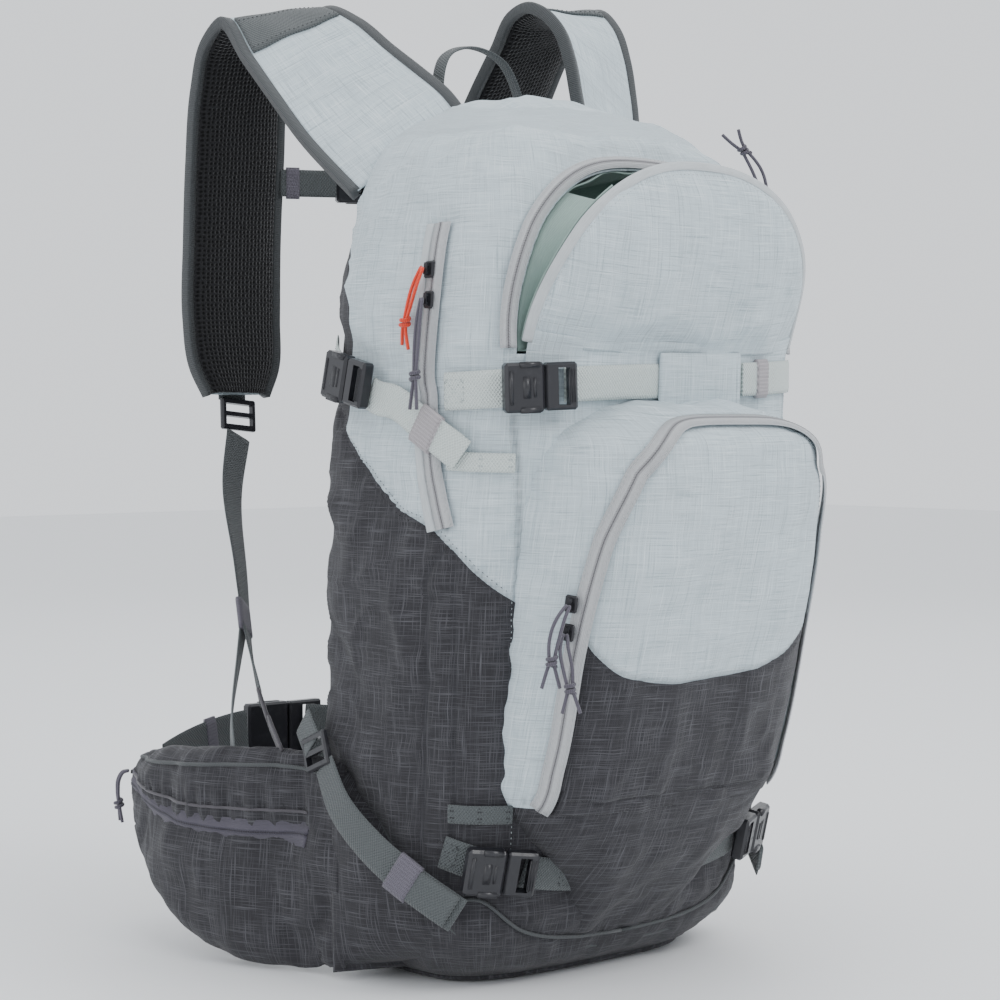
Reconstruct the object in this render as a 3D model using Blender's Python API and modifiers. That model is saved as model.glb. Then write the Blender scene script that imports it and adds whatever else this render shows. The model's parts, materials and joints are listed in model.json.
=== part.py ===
"""Ski backpack, about 30 litres: shell, hinged panels, zips, straps and buckles.

Frame: +Z up, -Y is the front of the pack (the side away from the wearer), +Y the
wearer's side, -X the wearer's left. The origin is under the middle of the whole object.
All lengths are in metres.
"""
import math

import bmesh
import bpy
import numpy as np
from mathutils import Matrix, Vector

# ---------------------------------------------------------------- driving dimensions
# Sections of the bag: height, half width, depth behind and in front of the frame's plane.
BODY_Z = [0.0035, 0.02, 0.06, 0.12, 0.20, 0.30, 0.38, 0.44, 0.48, 0.505, 0.522]
BODY_HALF = [0.100, 0.118, 0.130, 0.136, 0.139, 0.140, 0.137, 0.128, 0.110, 0.085, 0.050]
BODY_BACK = [0.065, 0.078, 0.085, 0.086, 0.086, 0.085, 0.082, 0.078, 0.073, 0.065, 0.045]
BODY_FRONT = [-0.035, -0.055, -0.070, -0.082, -0.092, -0.102, -0.108, -0.102, -0.080, -0.050, -0.012]
BODY_POWER = 3.4
# Sections of the front pocket that bulges out of the bag.
POCKET_Z = [0.030, 0.06, 0.09, 0.115, 0.14, 0.20, 0.265, 0.305, 0.327, 0.340]
POCKET_HALF = [0.043, 0.056, 0.082, 0.102, 0.106, 0.107, 0.105, 0.100, 0.089, 0.062]
POCKET_FRONT = [-0.062, -0.086, -0.105, -0.114, -0.122, -0.140, -0.157, -0.163, -0.158, -0.134]
POCKET_ROOT = -0.050
POCKET_POWER = 3.6
# Where the whole pack stands in its own frame, so that the origin is under its middle.
ORIGIN_SHIFT = (0.0, -0.0676, 0.0)

FABRIC = 0.0025
SHELL = 0.003
GAP = 0.0004
SEAM_GAP = 0.0015
WEBBING = 0.0015
WEB_WIDTH = 0.020
HIP_WEB_WIDTH = 0.038
TAPE_WIDTH = 0.009
TAPE = 0.0012
TAPE_LIFT = 0.0012

FLAP_HINGE = (0.0, -0.1082, 0.3690)
FLAP_OPEN = math.radians(22.0)
FLAP_HALF, FLAP_BASE, FLAP_TOP, FLAP_POWER = 0.1115, 0.3725, 0.4805, 2.4
POCKET_HINGE = (0.0, -0.1155, 0.1160)
PANEL_HALF, PANEL_BASE, PANEL_TOP, PANEL_POWER = 0.0955, 0.1175, 0.3325, 4.0
BACK_HINGE = (0.0, 0.0870, 0.092)
BACK_HALF, BACK_BASE, BACK_TOP, BACK_POWER = 0.0940, 0.0950, 0.4400, 5.0
BACK_ZIP_HALF = BACK_HALF + 0.008

LIGHT = (0.54, 0.60, 0.62)
DARK = (0.070, 0.068, 0.078)
LIGHT_WEB = (0.64, 0.71, 0.69)
DARK_WEB = (0.090, 0.100, 0.103)
PLASTIC = (0.035, 0.035, 0.042)
TAPE_LIGHT = (0.56, 0.57, 0.58)
TAPE_DARK = (0.110, 0.103, 0.135)
MESH_BLACK = (0.010, 0.010, 0.011)
FRAME_PLASTIC = (0.020, 0.020, 0.022)
LINING = (0.270, 0.350, 0.330)
RED_CORD = (0.87, 0.060, 0.024)
GREY_CORD = (0.105, 0.095, 0.120)


# ---------------------------------------------------------------- scene and materials
for old in list(bpy.data.objects):
    bpy.data.objects.remove(old, do_unlink=True)

PARTS = bpy.data.collections.new("ski_backpack")
CUTTERS = bpy.data.collections.new("ski_backpack_cutters")
bpy.context.scene.collection.children.link(PARTS)
bpy.context.scene.collection.children.link(CUTTERS)
BASE_FRAME = bpy.data.objects.new("pack_frame", None)
BASE_FRAME.location = ORIGIN_SHIFT
PARTS.objects.link(BASE_FRAME)


def material(name, colour, roughness):
    """A Principled material of one colour."""
    found = bpy.data.materials.get(name)
    if found:
        return found
    made = bpy.data.materials.new(name)
    made.use_nodes = True
    shader = made.node_tree.nodes["Principled BSDF"]
    shader.inputs["Base Color"].default_value = (*colour, 1.0)
    shader.inputs["Roughness"].default_value = roughness
    shader.inputs["Metallic"].default_value = 0.0
    return made


def finish_part(obj, mat_name, colour, roughness=0.8):
    """Give a finished part its material and hang it on the pack's frame."""
    obj.data.materials.clear()
    obj.data.materials.append(material(mat_name, colour, roughness))
    if obj.parent is None:
        obj.parent = BASE_FRAME
    return obj


def new_object(name, verts, faces, cutter=False):
    """An object from points and faces, in the parts or the cutters."""
    mesh = bpy.data.meshes.new(name)
    mesh.from_pydata([tuple(map(float, v)) for v in verts], [], faces)
    obj = bpy.data.objects.new(name, mesh)
    (CUTTERS if cutter else PARTS).objects.link(obj)
    if cutter:
        obj.hide_render = True
        obj.display_type = "WIRE"
        obj.parent = BASE_FRAME
    return obj


def face_outwards(obj):
    """Turn the faces of a closed solid outwards."""
    work = bmesh.new()
    work.from_mesh(obj.data)
    bmesh.ops.recalc_face_normals(work, faces=work.faces)
    work.to_mesh(obj.data)
    work.free()


def add_boolean(obj, other, operation="DIFFERENCE"):
    """Cut or join with another object."""
    modifier = obj.modifiers.new(operation.lower(), "BOOLEAN")
    modifier.operation = operation
    modifier.solver = "EXACT"
    modifier.object = other
    return modifier


def add_solidify(obj, thickness, offset):
    """Thicken an open surface; offset 1 grows along the normals, -1 against them."""
    modifier = obj.modifiers.new("thickness", "SOLIDIFY")
    modifier.thickness = thickness
    modifier.offset = offset
    modifier.use_even_offset = False
    return modifier


def add_bevel(obj, width, segments=1):
    """Round the sharp edges of a hard part."""
    modifier = obj.modifiers.new("rounding", "BEVEL")
    modifier.width = width
    modifier.segments = segments
    modifier.limit_method = "ANGLE"
    return modifier


# ---------------------------------------------------------------- curves and surfaces
def smooth(stations, values, at):
    """Smooth curve through the values given at the stations."""
    stations = np.asarray(stations, float)
    values = np.asarray(values, float)
    at = np.clip(np.asarray(at, float), stations[0], stations[-1])
    index = np.clip(np.searchsorted(stations, at, side="right") - 1, 0, len(stations) - 2)
    span = stations[index + 1] - stations[index]
    t = (at - stations[index]) / span
    slope = np.gradient(values, stations)
    start, end = slope[index] * span, slope[index + 1] * span
    return ((2 * t**3 - 3 * t**2 + 1) * values[index] + (t**3 - 2 * t**2 + t) * start
            + (-2 * t**3 + 3 * t**2) * values[index + 1] + (t**3 - t**2) * end)


def smooth_path(points, count):
    """Evenly spread points on a smooth curve through a few hand-placed ones."""
    points = np.asarray(points, float)
    steps = np.linalg.norm(np.diff(points, axis=0), axis=1)
    along = np.concatenate([[0.0], np.cumsum(steps)])
    at = np.linspace(0.0, along[-1], count)
    return np.stack([smooth(along, points[:, k], at) for k in range(points.shape[1])], -1)


def body_section(z, off=0.0):
    """Half width, back and front depth of the bag at a height."""
    return (smooth(BODY_Z, BODY_HALF, z) + off, smooth(BODY_Z, BODY_BACK, z) + off,
            smooth(BODY_Z, BODY_FRONT, z) - off)


def body_point(u, z, off=0.0):
    """Point on the bag: u is 0 at +X, 90 at the back, 180 at -X, 270 at the front."""
    half, back, front = body_section(z, off)
    mid, deep = (back + front) / 2, (back - front) / 2
    c, s = math.cos(math.radians(u)), math.sin(math.radians(u))
    x = half * math.copysign(abs(c) ** (2 / BODY_POWER), c)
    y = mid + deep * math.copysign(abs(s) ** (2 / BODY_POWER), s)
    return Vector((x, y, z))


def body_normal(u, z):
    """Outward normal of the bag."""
    step = 0.05
    around = body_point(u + step, z) - body_point(u - step, z)
    up = body_point(u, z + 0.001) - body_point(u, z - 0.001)
    return around.cross(up).normalized()


def body_front(x, z):
    """Depth of the bag's front face at a place on it."""
    half, back, front = body_section(z)
    mid, deep = (back + front) / 2, (back - front) / 2
    return mid - deep * (1 - min(abs(x / half), 1.0) ** BODY_POWER) ** (1 / BODY_POWER)


def pocket_front(x, z):
    """Depth of the front pocket's face at a place on it."""
    half = float(smooth(POCKET_Z, POCKET_HALF, z))
    front = float(smooth(POCKET_Z, POCKET_FRONT, z))
    side = (1 - min(abs(x / half), 1.0) ** POCKET_POWER) ** (1 / POCKET_POWER)
    return POCKET_ROOT - (POCKET_ROOT - front) * side


def surface_normal(surface, x, z):
    """Outward normal of a front surface given as a depth over x and z."""
    step = 0.0004
    across = Vector((2 * step, surface(x + step, z) - surface(x - step, z), 0))
    up = Vector((0, surface(x, z + step) - surface(x, z - step), 2 * step))
    return across.cross(up).normalized()


def arch_half(z, half, base, top, power):
    """Half width of an arched outline at a height."""
    t = min(max((z - base) / (top - base), 0.0), 1.0)
    return half * (1 - t**power) ** (1 / power)


def arch_line(half, base, top, power, count):
    """Points (x, z) along an arch, from its foot at -X over the top to the foot at +X."""
    line = []
    for k in range(count):
        a = math.pi * (1 - k / (count - 1))
        x = half * math.copysign(abs(math.cos(a)) ** (2 / power), math.cos(a))
        line.append((x, base + (top - base) * abs(math.sin(a)) ** (2 / power)))
    return line


# ---------------------------------------------------------------- builders
def loft(name, rings, cutter=False):
    """Closed solid through a stack of rings with the same number of points."""
    count = len(rings[0])
    verts = [p for ring in rings for p in ring]
    faces = []
    for r in range(len(rings) - 1):
        low, high = r * count, (r + 1) * count
        for k in range(count):
            n = (k + 1) % count
            faces.append((low + k, low + n, high + n, high + k))
    faces.append(tuple(reversed(range(count))))
    faces.append(tuple(range((len(rings) - 1) * count, len(rings) * count)))
    obj = new_object(name, verts, faces, cutter)
    face_outwards(obj)
    return obj


def body_loft(name, off, count=40, cutter=False):
    """The bag's own form, grown or shrunk by an offset."""
    heights = [0.0035, 0.010, 0.02, 0.04, 0.07, 0.11, 0.16, 0.22, 0.28, 0.34, 0.39, 0.425,
               0.45, 0.468, 0.483, 0.496, 0.508, 0.516, 0.522]
    rings = []
    for z in heights:
        ring = [body_point(360 * k / count, z, off) for k in range(count)]
        rings.append(ring)
    for p in rings[0]:
        p.z -= off
    for p in rings[-1]:
        p.z += off
    return loft(name, rings, cutter)


def pocket_loft(name, off, count=44, cutter=False):
    """The front pocket's own form; its back lies inside the bag."""
    heights = [0.030, 0.045, 0.06, 0.075, 0.09, 0.105, 0.12, 0.16, 0.20, 0.24, 0.28, 0.305, 0.320,
               0.332, 0.340]
    rings = []
    for z in heights:
        half = float(smooth(POCKET_Z, POCKET_HALF, z)) + off
        front = float(smooth(POCKET_Z, POCKET_FRONT, z)) - off
        ring = []
        for k in range(count):
            a = 2 * math.pi * k / count
            deep = POCKET_ROOT - front if math.sin(a) < 0 else 0.02
            x = half * math.copysign(abs(math.cos(a)) ** (2 / POCKET_POWER), math.cos(a))
            y = POCKET_ROOT + deep * math.copysign(abs(math.sin(a)) ** (2 / POCKET_POWER), math.sin(a))
            ring.append(Vector((x, y, z)))
        rings.append(ring)
    shrink = 0.5
    foot = [Vector((p.x * shrink, -0.045 + (p.y + 0.045) * shrink, 0.020 - off)) for p in rings[0]]
    head = [Vector((p.x * shrink, -0.06 + (p.y + 0.06) * shrink, 0.3445 + off)) for p in rings[-1]]
    return loft(name, [foot] + rings + [head], cutter)


def arch_prism(name, half, base, top, power, near, far):
    """Cutter with an arched outline in the XZ plane, between two depths."""
    line = arch_line(half, base, top, power, 33)
    rings = [[(x, y, z) for x, z in line] for y in (far, near)]
    return loft(name, rings, cutter=True)


def patch(name, surface, half, base, top, power, rows=14, columns=14):
    """Open arched patch lying on a front surface, its normals facing out."""
    verts, faces = [], []
    heights = [base + (top - base) * math.sin(0.5 * math.pi * r / rows) for r in range(rows)]
    heights.append(top - 0.0004)
    for z in heights:
        wide = arch_half(z, half, base, top, power)
        for c in range(columns + 1):
            x = wide * math.sin(0.5 * math.pi * (2 * c / columns - 1))
            verts.append((x, surface(x, z), z))
    for r in range(len(heights) - 1):
        for c in range(columns):
            a = r * (columns + 1) + c
            faces.append((a, a + 1, a + columns + 2, a + columns + 1))
    return new_object(name, verts, faces)


def strip(name, left, right, thickness, columns=1):
    """Band between two edge lines, thickened towards the side its normals face."""
    verts, faces = [], []
    for a, b in zip(left, right):
        for c in range(columns + 1):
            verts.append(Vector(a).lerp(Vector(b), c / columns))
    for r in range(len(left) - 1):
        for c in range(columns):
            k = r * (columns + 1) + c
            faces.append((k, k + 1, k + columns + 2, k + columns + 1))
    obj = new_object(name, verts, faces)
    add_solidify(obj, thickness, 1.0)
    return obj


def ribbon(name, path, normals, width, thickness):
    """Flat band of one width along a path; the path is its underside's middle."""
    left, right = [], []
    for k, point in enumerate(path):
        ahead = Vector(path[min(k + 1, len(path) - 1)]) - Vector(path[max(k - 1, 0)])
        side = ahead.cross(Vector(normals[k])).normalized() * width / 2
        left.append(Vector(point) + side)
        right.append(Vector(point) - side)
    return strip(name, right, left, thickness)


def body_ribbon(name, route, off, width, thickness, count=14):
    """Band on the bag along a route of (u, z) places."""
    places = smooth_path(route, count)
    path = [body_point(u, z, off) for u, z in places]
    normals = [body_normal(u, z) for u, z in places]
    return ribbon(name, path, normals, width, thickness)


def arch_ribbon(name, surface, line, off, outset, width, thickness):
    """Band that follows an arched line on a front surface, set outside of that line."""
    path, normals = [], []
    for k, (x, z) in enumerate(line):
        before, after = line[max(k - 1, 0)], line[min(k + 1, len(line) - 1)]
        ahead = Vector((after[0] - before[0], 0, after[1] - before[1]))
        ahead.y = surface(*after) - surface(*before)
        out = surface_normal(surface, x, z)
        side = out.cross(ahead).normalized()
        path.append(Vector((x, surface(x, z), z)) + side * outset + out * off)
        normals.append(out)
    return ribbon(name, path, normals, width, thickness)


def tube(name, points, radius, count):
    """Cord solid along a smooth route."""
    curve = bpy.data.curves.new(name, "CURVE")
    curve.dimensions = "3D"
    curve.bevel_depth = radius
    curve.bevel_resolution = 2
    curve.use_fill_caps = True
    spline = curve.splines.new("POLY")
    route = smooth_path(points, count)
    spline.points.add(len(route) - 1)
    for point, place in zip(spline.points, route):
        point.co = (*place, 1.0)
    obj = bpy.data.objects.new(name, curve)
    PARTS.objects.link(obj)
    return obj


def box(name, low, high, cutter=False):
    """Box between two corners, its scale applied."""
    bpy.ops.mesh.primitive_cube_add(size=1.0)
    obj = bpy.context.object
    obj.name = name
    size = [b - a for a, b in zip(low, high)]
    middle = [(a + b) / 2 for a, b in zip(low, high)]
    obj.data.transform(Matrix.Translation(middle) @ Matrix.Diagonal((*size, 1.0)))
    for collection in list(obj.users_collection):
        collection.objects.unlink(obj)
    (CUTTERS if cutter else PARTS).objects.link(obj)
    if cutter:
        obj.hide_render = True
        obj.display_type = "WIRE"
    return obj


def frame_matrix(origin, along, out):
    """Local X along a strap, local Z away from the surface."""
    out = Vector(out).normalized()
    along = Vector(along)
    along = (along - out * along.dot(out)).normalized()
    side = out.cross(along)
    turn = Matrix((along, side, out)).transposed().to_4x4()
    return Matrix.Translation(origin) @ turn


SEATS = {}


def seat(matrix, *objects):
    """Stand parts that were made at the origin in their place on the pack."""
    for obj in objects:
        obj.parent = BASE_FRAME
        obj.matrix_local = matrix
        SEATS[obj.name] = matrix


# ---------------------------------------------------------------- the bag
BODY_CLEAR = body_loft("cut_bag_clearance", GAP + 0.0003, cutter=True)


def make_shell():
    """Hollow bag with the back opening and the goggle pocket's mouth cut into it."""
    shell = body_loft("main_shell", 0.0, count=48)
    add_solidify(shell, SHELL, -1.0)
    back = arch_prism("cut_back_opening", BACK_HALF + SEAM_GAP, BACK_BASE - SEAM_GAP,
                      BACK_TOP + SEAM_GAP, BACK_POWER, 0.04, 0.20)
    mouth = arch_prism("cut_goggle_mouth", FLAP_HALF + SEAM_GAP, FLAP_BASE - SEAM_GAP,
                       FLAP_TOP + SEAM_GAP, FLAP_POWER, -0.20, -0.055)
    add_boolean(shell, back)
    add_boolean(shell, mouth)
    finish_part(shell, "light_fabric", LIGHT)

    outline = [body_point(360 * k / 40, BODY_Z[0]) for k in range(40)]
    rings = [[(p.x * s, 0.015 + (p.y - 0.015) * s, z) for p in outline]
             for s, z in ((0.96, 0.0), (1.0, 0.0010), (1.0, 0.0030))]
    base = loft("base_panel", rings)
    finish_part(base, "dark_fabric", DARK)


def make_back():
    """Back panel that swings out at its foot, with its frame sheet and pads."""
    hinge = bpy.data.objects.new("back_panel_axis", None)
    hinge.location = BACK_HINGE
    hinge.parent = BASE_FRAME
    PARTS.objects.link(hinge)
    inner, outer = 0.0795, 0.0860
    line = arch_line(BACK_HALF, BACK_BASE, BACK_TOP, BACK_POWER, 33)
    panel = loft("back_panel", [[(x, y, z) for x, z in line] for y in (outer, inner)])
    sheet_line = arch_line(0.080, 0.105, 0.425, BACK_POWER, 25)
    sheet = loft("frame_sheet", [[(x, y, z) for x, z in sheet_line] for y in (0.0790, 0.0772)])
    pads = []
    for side, name in ((-1, "back_pad_left"), (1, "back_pad_right")):
        low = (min(side * 0.018, side * 0.080), outer + GAP, 0.205)
        high = (max(side * 0.018, side * 0.080), outer + 0.011, 0.420)
        pad = box(name, low, high)
        add_bevel(pad, 0.004, 2)
        pads.append(pad)
    lumbar = box("lumbar_pad", (-0.080, outer + GAP, 0.105), (0.080, outer + 0.013, 0.190))
    add_bevel(lumbar, 0.004, 2)
    for obj in (panel, sheet, lumbar, *pads):
        obj.data.transform(Matrix.Translation(Vector(BACK_HINGE) * -1))
        obj.parent = hinge
    finish_part(panel, "dark_fabric", DARK)
    finish_part(sheet, "frame_plastic", FRAME_PLASTIC, 0.5)
    for obj in (lumbar, *pads):
        finish_part(obj, "mesh_black", MESH_BLACK)


def make_goggle_pocket():
    """Lined pouch behind the mouth, and the flap that hangs open from its lower edge."""
    line = arch_line(0.097, 0.372, 0.462, 2.6, 25)
    mouth = [(x, -0.078, z) for x, z in line]
    depth = [(x * 0.97, -0.035, z - 0.002) for x, z in line]
    floor = [(x * 0.80, -0.025, 0.372 + (z - 0.372) * 0.80 + 0.004) for x, z in line]
    count = len(line)
    verts = mouth + depth + floor
    faces = []
    for r in range(2):
        for k in range(count):
            n = (k + 1) % count
            faces.append((r * count + n, r * count + k, (r + 1) * count + k, (r + 1) * count + n))
    faces.append(tuple(range(2 * count, 3 * count)))
    pouch = new_object("goggle_pouch", verts, faces)
    face_outwards(pouch)
    add_solidify(pouch, 0.0015, -1.0)
    finish_part(pouch, "lining", LINING)

    flap = patch("goggle_flap", body_front, FLAP_HALF, FLAP_BASE, FLAP_TOP, FLAP_POWER)
    flap.data.transform(Matrix.Translation(Vector(FLAP_HINGE) * -1))
    add_solidify(flap, FABRIC, -1.0)
    flap.location = FLAP_HINGE
    flap.rotation_euler = (FLAP_OPEN, 0, 0)
    finish_part(flap, "light_fabric", LIGHT)


def make_front_pocket():
    """Fixed gusset of the front pocket and the face that folds down from its foot."""
    gusset = pocket_loft("pocket_gusset", 0.0)
    hollow = pocket_loft("cut_pocket_hollow", -FABRIC, cutter=True)
    face = arch_prism("cut_pocket_face", PANEL_HALF + SEAM_GAP, PANEL_BASE - SEAM_GAP,
                      PANEL_TOP + 2 * SEAM_GAP, PANEL_POWER, -0.25, -0.080)
    add_boolean(gusset, BODY_CLEAR)
    add_boolean(gusset, hollow)
    add_boolean(gusset, face)
    finish_part(gusset, "light_fabric", LIGHT)

    panel = patch("pocket_panel", pocket_front, PANEL_HALF, PANEL_BASE, PANEL_TOP, PANEL_POWER)
    panel.data.transform(Matrix.Translation(Vector(POCKET_HINGE) * -1))
    add_solidify(panel, FABRIC, -1.0)
    panel.location = POCKET_HINGE
    finish_part(panel, "light_fabric", LIGHT)


# ---------------------------------------------------------------- zips
SIDE_ZIP_ROUTE = [(193, 0.446), (189, 0.425), (188, 0.385), (190, 0.345), (192, 0.317),
                  (196, 0.289), (202, 0.259)]


def make_zips():
    """Closed zip tracks, each a flat tape with its coil."""
    side = body_ribbon("side_zip", SIDE_ZIP_ROUTE, TAPE_LIFT, TAPE_WIDTH, TAPE)
    finish_part(side, "tape_light", TAPE_LIGHT)

    def back_depth(x, z):
        half, back, front = body_section(z)
        mid, deep = (back + front) / 2, (back - front) / 2
        return mid + deep * (1 - min(abs(x / half), 1.0) ** BODY_POWER) ** (1 / BODY_POWER)

    line = arch_line(BACK_ZIP_HALF, BACK_BASE + 0.015, BACK_TOP + 0.008, BACK_POWER, 25)
    path, normals = [], []
    for x, z in line:
        step = 0.0005
        across = Vector((2 * step, back_depth(x + step, z) - back_depth(x - step, z), 0))
        up = Vector((0, back_depth(x, z + step) - back_depth(x, z - step), 2 * step))
        out = up.cross(across).normalized()
        path.append(Vector((x, back_depth(x, z), z)) + out * TAPE_LIFT)
        normals.append(out)
    back = ribbon("back_zip", path, normals, TAPE_WIDTH, TAPE)
    finish_part(back, "tape_dark", TAPE_DARK)

    goggle_line = arch_line(FLAP_HALF + SEAM_GAP, FLAP_BASE + 0.010, FLAP_TOP + SEAM_GAP,
                            FLAP_POWER, 21)
    goggle = arch_ribbon("goggle_zip", body_front, goggle_line, TAPE_LIFT, 0.0045, 0.008, TAPE)
    finish_part(goggle, "tape_light", TAPE_LIGHT)

    pocket_line = arch_line(PANEL_HALF + SEAM_GAP, PANEL_BASE + 0.006, PANEL_TOP + SEAM_GAP,
                            PANEL_POWER, 25)
    pocket = arch_ribbon("pocket_zip", pocket_front, pocket_line, 1.5 * TAPE_LIFT, 0.0035, 0.006, TAPE)
    finish_part(pocket, "tape_light", TAPE_LIGHT)


def make_slider(name, place, along, out, lift):
    """Zip slider: body with an arched bridge, standing over its track."""
    body = box(name, (-0.0050, -0.0037, 0.0), (0.0050, 0.0037, 0.0022))
    add_bevel(body, 0.0010)
    bridge = box("join_" + name, (-0.0034, -0.0012, 0.0012), (0.0034, 0.0012, 0.0046), cutter=True)
    hole = box("cut_" + name, (-0.0018, -0.0030, 0.0028), (0.0018, 0.0030, 0.0038), cutter=True)
    add_boolean(body, bridge, "UNION")
    add_boolean(body, hole)
    matrix = frame_matrix(Vector(place) + Vector(out).normalized() * lift, along, out)
    seat(matrix, body, bridge, hole)
    finish_part(body, "slider_black", PLASTIC, 0.45)
    return matrix


SLIDER_LIFT = 0.0030


def back_point(x, z):
    """Place on the bag's back at a distance from its middle."""
    half, back, front = body_section(z)
    mid, deep = (back + front) / 2, (back - front) / 2
    return Vector((x, mid + deep * (1 - abs(x / half) ** BODY_POWER) ** (1 / BODY_POWER), z))


def body_frame(u, z, along_u, along_z, lift):
    """Frame on the bag whose X runs towards another place on it."""
    place, out = body_point(u, z), body_normal(u, z)
    return frame_matrix(place + out * lift, body_point(u + along_u, z + along_z) - place, out)


def mirrored(matrix):
    """The same frame on the other side of the pack, still right handed."""
    flip = Matrix.Diagonal((-1, 1, 1, 1))
    return flip @ matrix @ Matrix.Diagonal((1, -1, 1, 1))


def make_sliders():
    """Sliders with their cord pulls; a pull's origin is the eye that it swings on."""
    for name, u, z in (("side_slider_upper", 187.5, 0.419), ("side_slider_lower", 188.2, 0.402)):
        place, out = body_point(u, z), body_normal(u, z)
        make_slider(name, place, body_point(u, z - 0.002) - place, out, SLIDER_LIFT)
    for name, side in (("back_slider_left", -1), ("back_slider_right", 1)):
        place = back_point(side * BACK_ZIP_HALF, 0.330)
        along = back_point(side * BACK_ZIP_HALF, 0.305) - place
        make_slider(name, place, along, (side * 0.55, 0.83, 0), SLIDER_LIFT + 0.0004)
    place = Vector((0.0955, body_front(0.0955, 0.4640), 0.4640))
    out = surface_normal(body_front, 0.0955, 0.4640)
    make_slider("goggle_slider", place, (0.55, 0.0, -0.83), out, SLIDER_LIFT)
    for name, z in (("pocket_slider_upper", 0.232), ("pocket_slider_lower", 0.216)):
        x = -PANEL_HALF - SEAM_GAP
        place = Vector((x, pocket_front(x, z), z))
        ahead = Vector((x, pocket_front(x, z - 0.03), z - 0.03)) - place
        make_slider(name, place, ahead, surface_normal(pocket_front, x, z), SLIDER_LIFT + TAPE_LIFT)
    make_slider("hip_slider_left", (-0.1330, 0.2550, 0.1000), (-0.72, -0.69, 0),
                (-0.69, 0.72, 0.1), SLIDER_LIFT)

    pulls = [
        ("side_pull_upper", "cord_red", RED_CORD,
         [(0, 0, 0), (-0.0015, 0.0035, -0.008), (-0.0020, 0.0095, -0.022), (-0.0015, 0.0140, -0.034),
          (0.0, 0.0150, -0.045)]),
        ("side_pull_lower", "cord_grey", GREY_CORD,
         [(0, 0, 0), (-0.0016, 0.0005, -0.010), (-0.0030, 0.0012, -0.028),
          (-0.0042, 0.0012, -0.046), (-0.0050, 0.0015, -0.063)]),
        ("goggle_pull", "cord_grey", GREY_CORD,
         [(0, 0, 0), (-0.0010, 0.001, 0.008), (-0.0040, 0.003, 0.018), (-0.0100, 0.006, 0.028),
          (-0.0180, 0.008, 0.036), (-0.0230, 0.008, 0.041)]),
        ("pocket_pull_upper", "cord_grey", GREY_CORD,
         [(0, 0, 0), (-0.0050, 0.0005, -0.007), (-0.0080, 0.0030, -0.020), (-0.0080, 0.0050, -0.034),
          (-0.0075, 0.0060, -0.046)]),
        ("pocket_pull_lower", "cord_grey", GREY_CORD,
         [(0, 0, 0), (-0.0025, -0.0020, -0.007), (-0.0010, -0.0035, -0.020), (0.0010, -0.0035, -0.034),
          (0.0020, -0.0030, -0.044)]),
        ("hip_pull_left", "cord_grey", GREY_CORD,
         [(0, 0, 0), (-0.0018, 0.0036, -0.0012), (-0.0034, 0.0064, -0.0062), (-0.0038, 0.0070, -0.014),
          (-0.0032, 0.0062, -0.024), (-0.0025, 0.0050, -0.034)]),
    ]
    eyes = {"side_pull_upper": "side_slider_upper", "side_pull_lower": "side_slider_lower",
            "goggle_pull": "goggle_slider", "pocket_pull_upper": "pocket_slider_upper",
            "pocket_pull_lower": "pocket_slider_lower", "hip_pull_left": "hip_slider_left"}
    for name, mat_name, colour, points in pulls:
        eye = SEATS[eyes[name]] @ Vector((0, 0, 0.0070))
        cord = tube(name, points, 0.0016, 9)
        cord.parent = BASE_FRAME
        cord.location = eye
        finish_part(cord, mat_name, colour)


# ---------------------------------------------------------------- buckles and straps
def make_buckle(prefix, suffix, matrix, size=1.0):
    """Side-release buckle: the female half lies at -X, the male half's tongue is inside it."""
    half = 0.0140 * size
    female = box(prefix + "_female" + suffix, (-0.0215 * size, -half, 0),
                 (0.0018 * size, half, 0.0085))
    add_bevel(female, 0.0016)
    cavity = box("cut_" + female.name, (-0.0150 * size, -half + 0.0035, 0.0022),
                 (0.0100 * size, half - 0.0035, 0.0063), cutter=True)
    add_boolean(female, cavity)
    male = box(prefix + "_male" + suffix, (0.0026 * size, -half + 0.0005, 0),
               (0.0215 * size, half - 0.0005, 0.0078))
    add_bevel(male, 0.0014)
    tongue = box("join_" + male.name, (-0.0130 * size, -half + 0.0045, 0.0030),
                 (0.0045 * size, half - 0.0045, 0.0055), cutter=True)
    slot = box("cut_" + male.name, (0.0100 * size, -half + 0.0035, -0.0100),
               (0.0170 * size, half - 0.0035, 0.0200), cutter=True)
    add_boolean(male, tongue, "UNION")
    add_boolean(male, slot)
    seat(matrix, female, cavity, male, tongue, slot)
    finish_part(female, "buckle_plastic", PLASTIC, 0.35)
    finish_part(male, "buckle_plastic", PLASTIC, 0.35)


def make_lock(name, matrix, width=0.027, length=0.021):
    """Three-bar webbing adjuster."""
    lock = box(name, (-length / 2, -width / 2, 0), (length / 2, width / 2, 0.0040))
    add_bevel(lock, 0.0010)
    holes = []
    for k, start in enumerate((-length / 2 + 0.0035, 0.0015)):
        hole = box("cut_%s_%d" % (name, k), (start, -width / 2 + 0.003, -0.01),
                   (start + 0.0055, width / 2 - 0.003, 0.01), cutter=True)
        add_boolean(lock, hole)
        holes.append(hole)
    seat(matrix, lock, *holes)
    finish_part(lock, "buckle_plastic", PLASTIC, 0.35)


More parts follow.
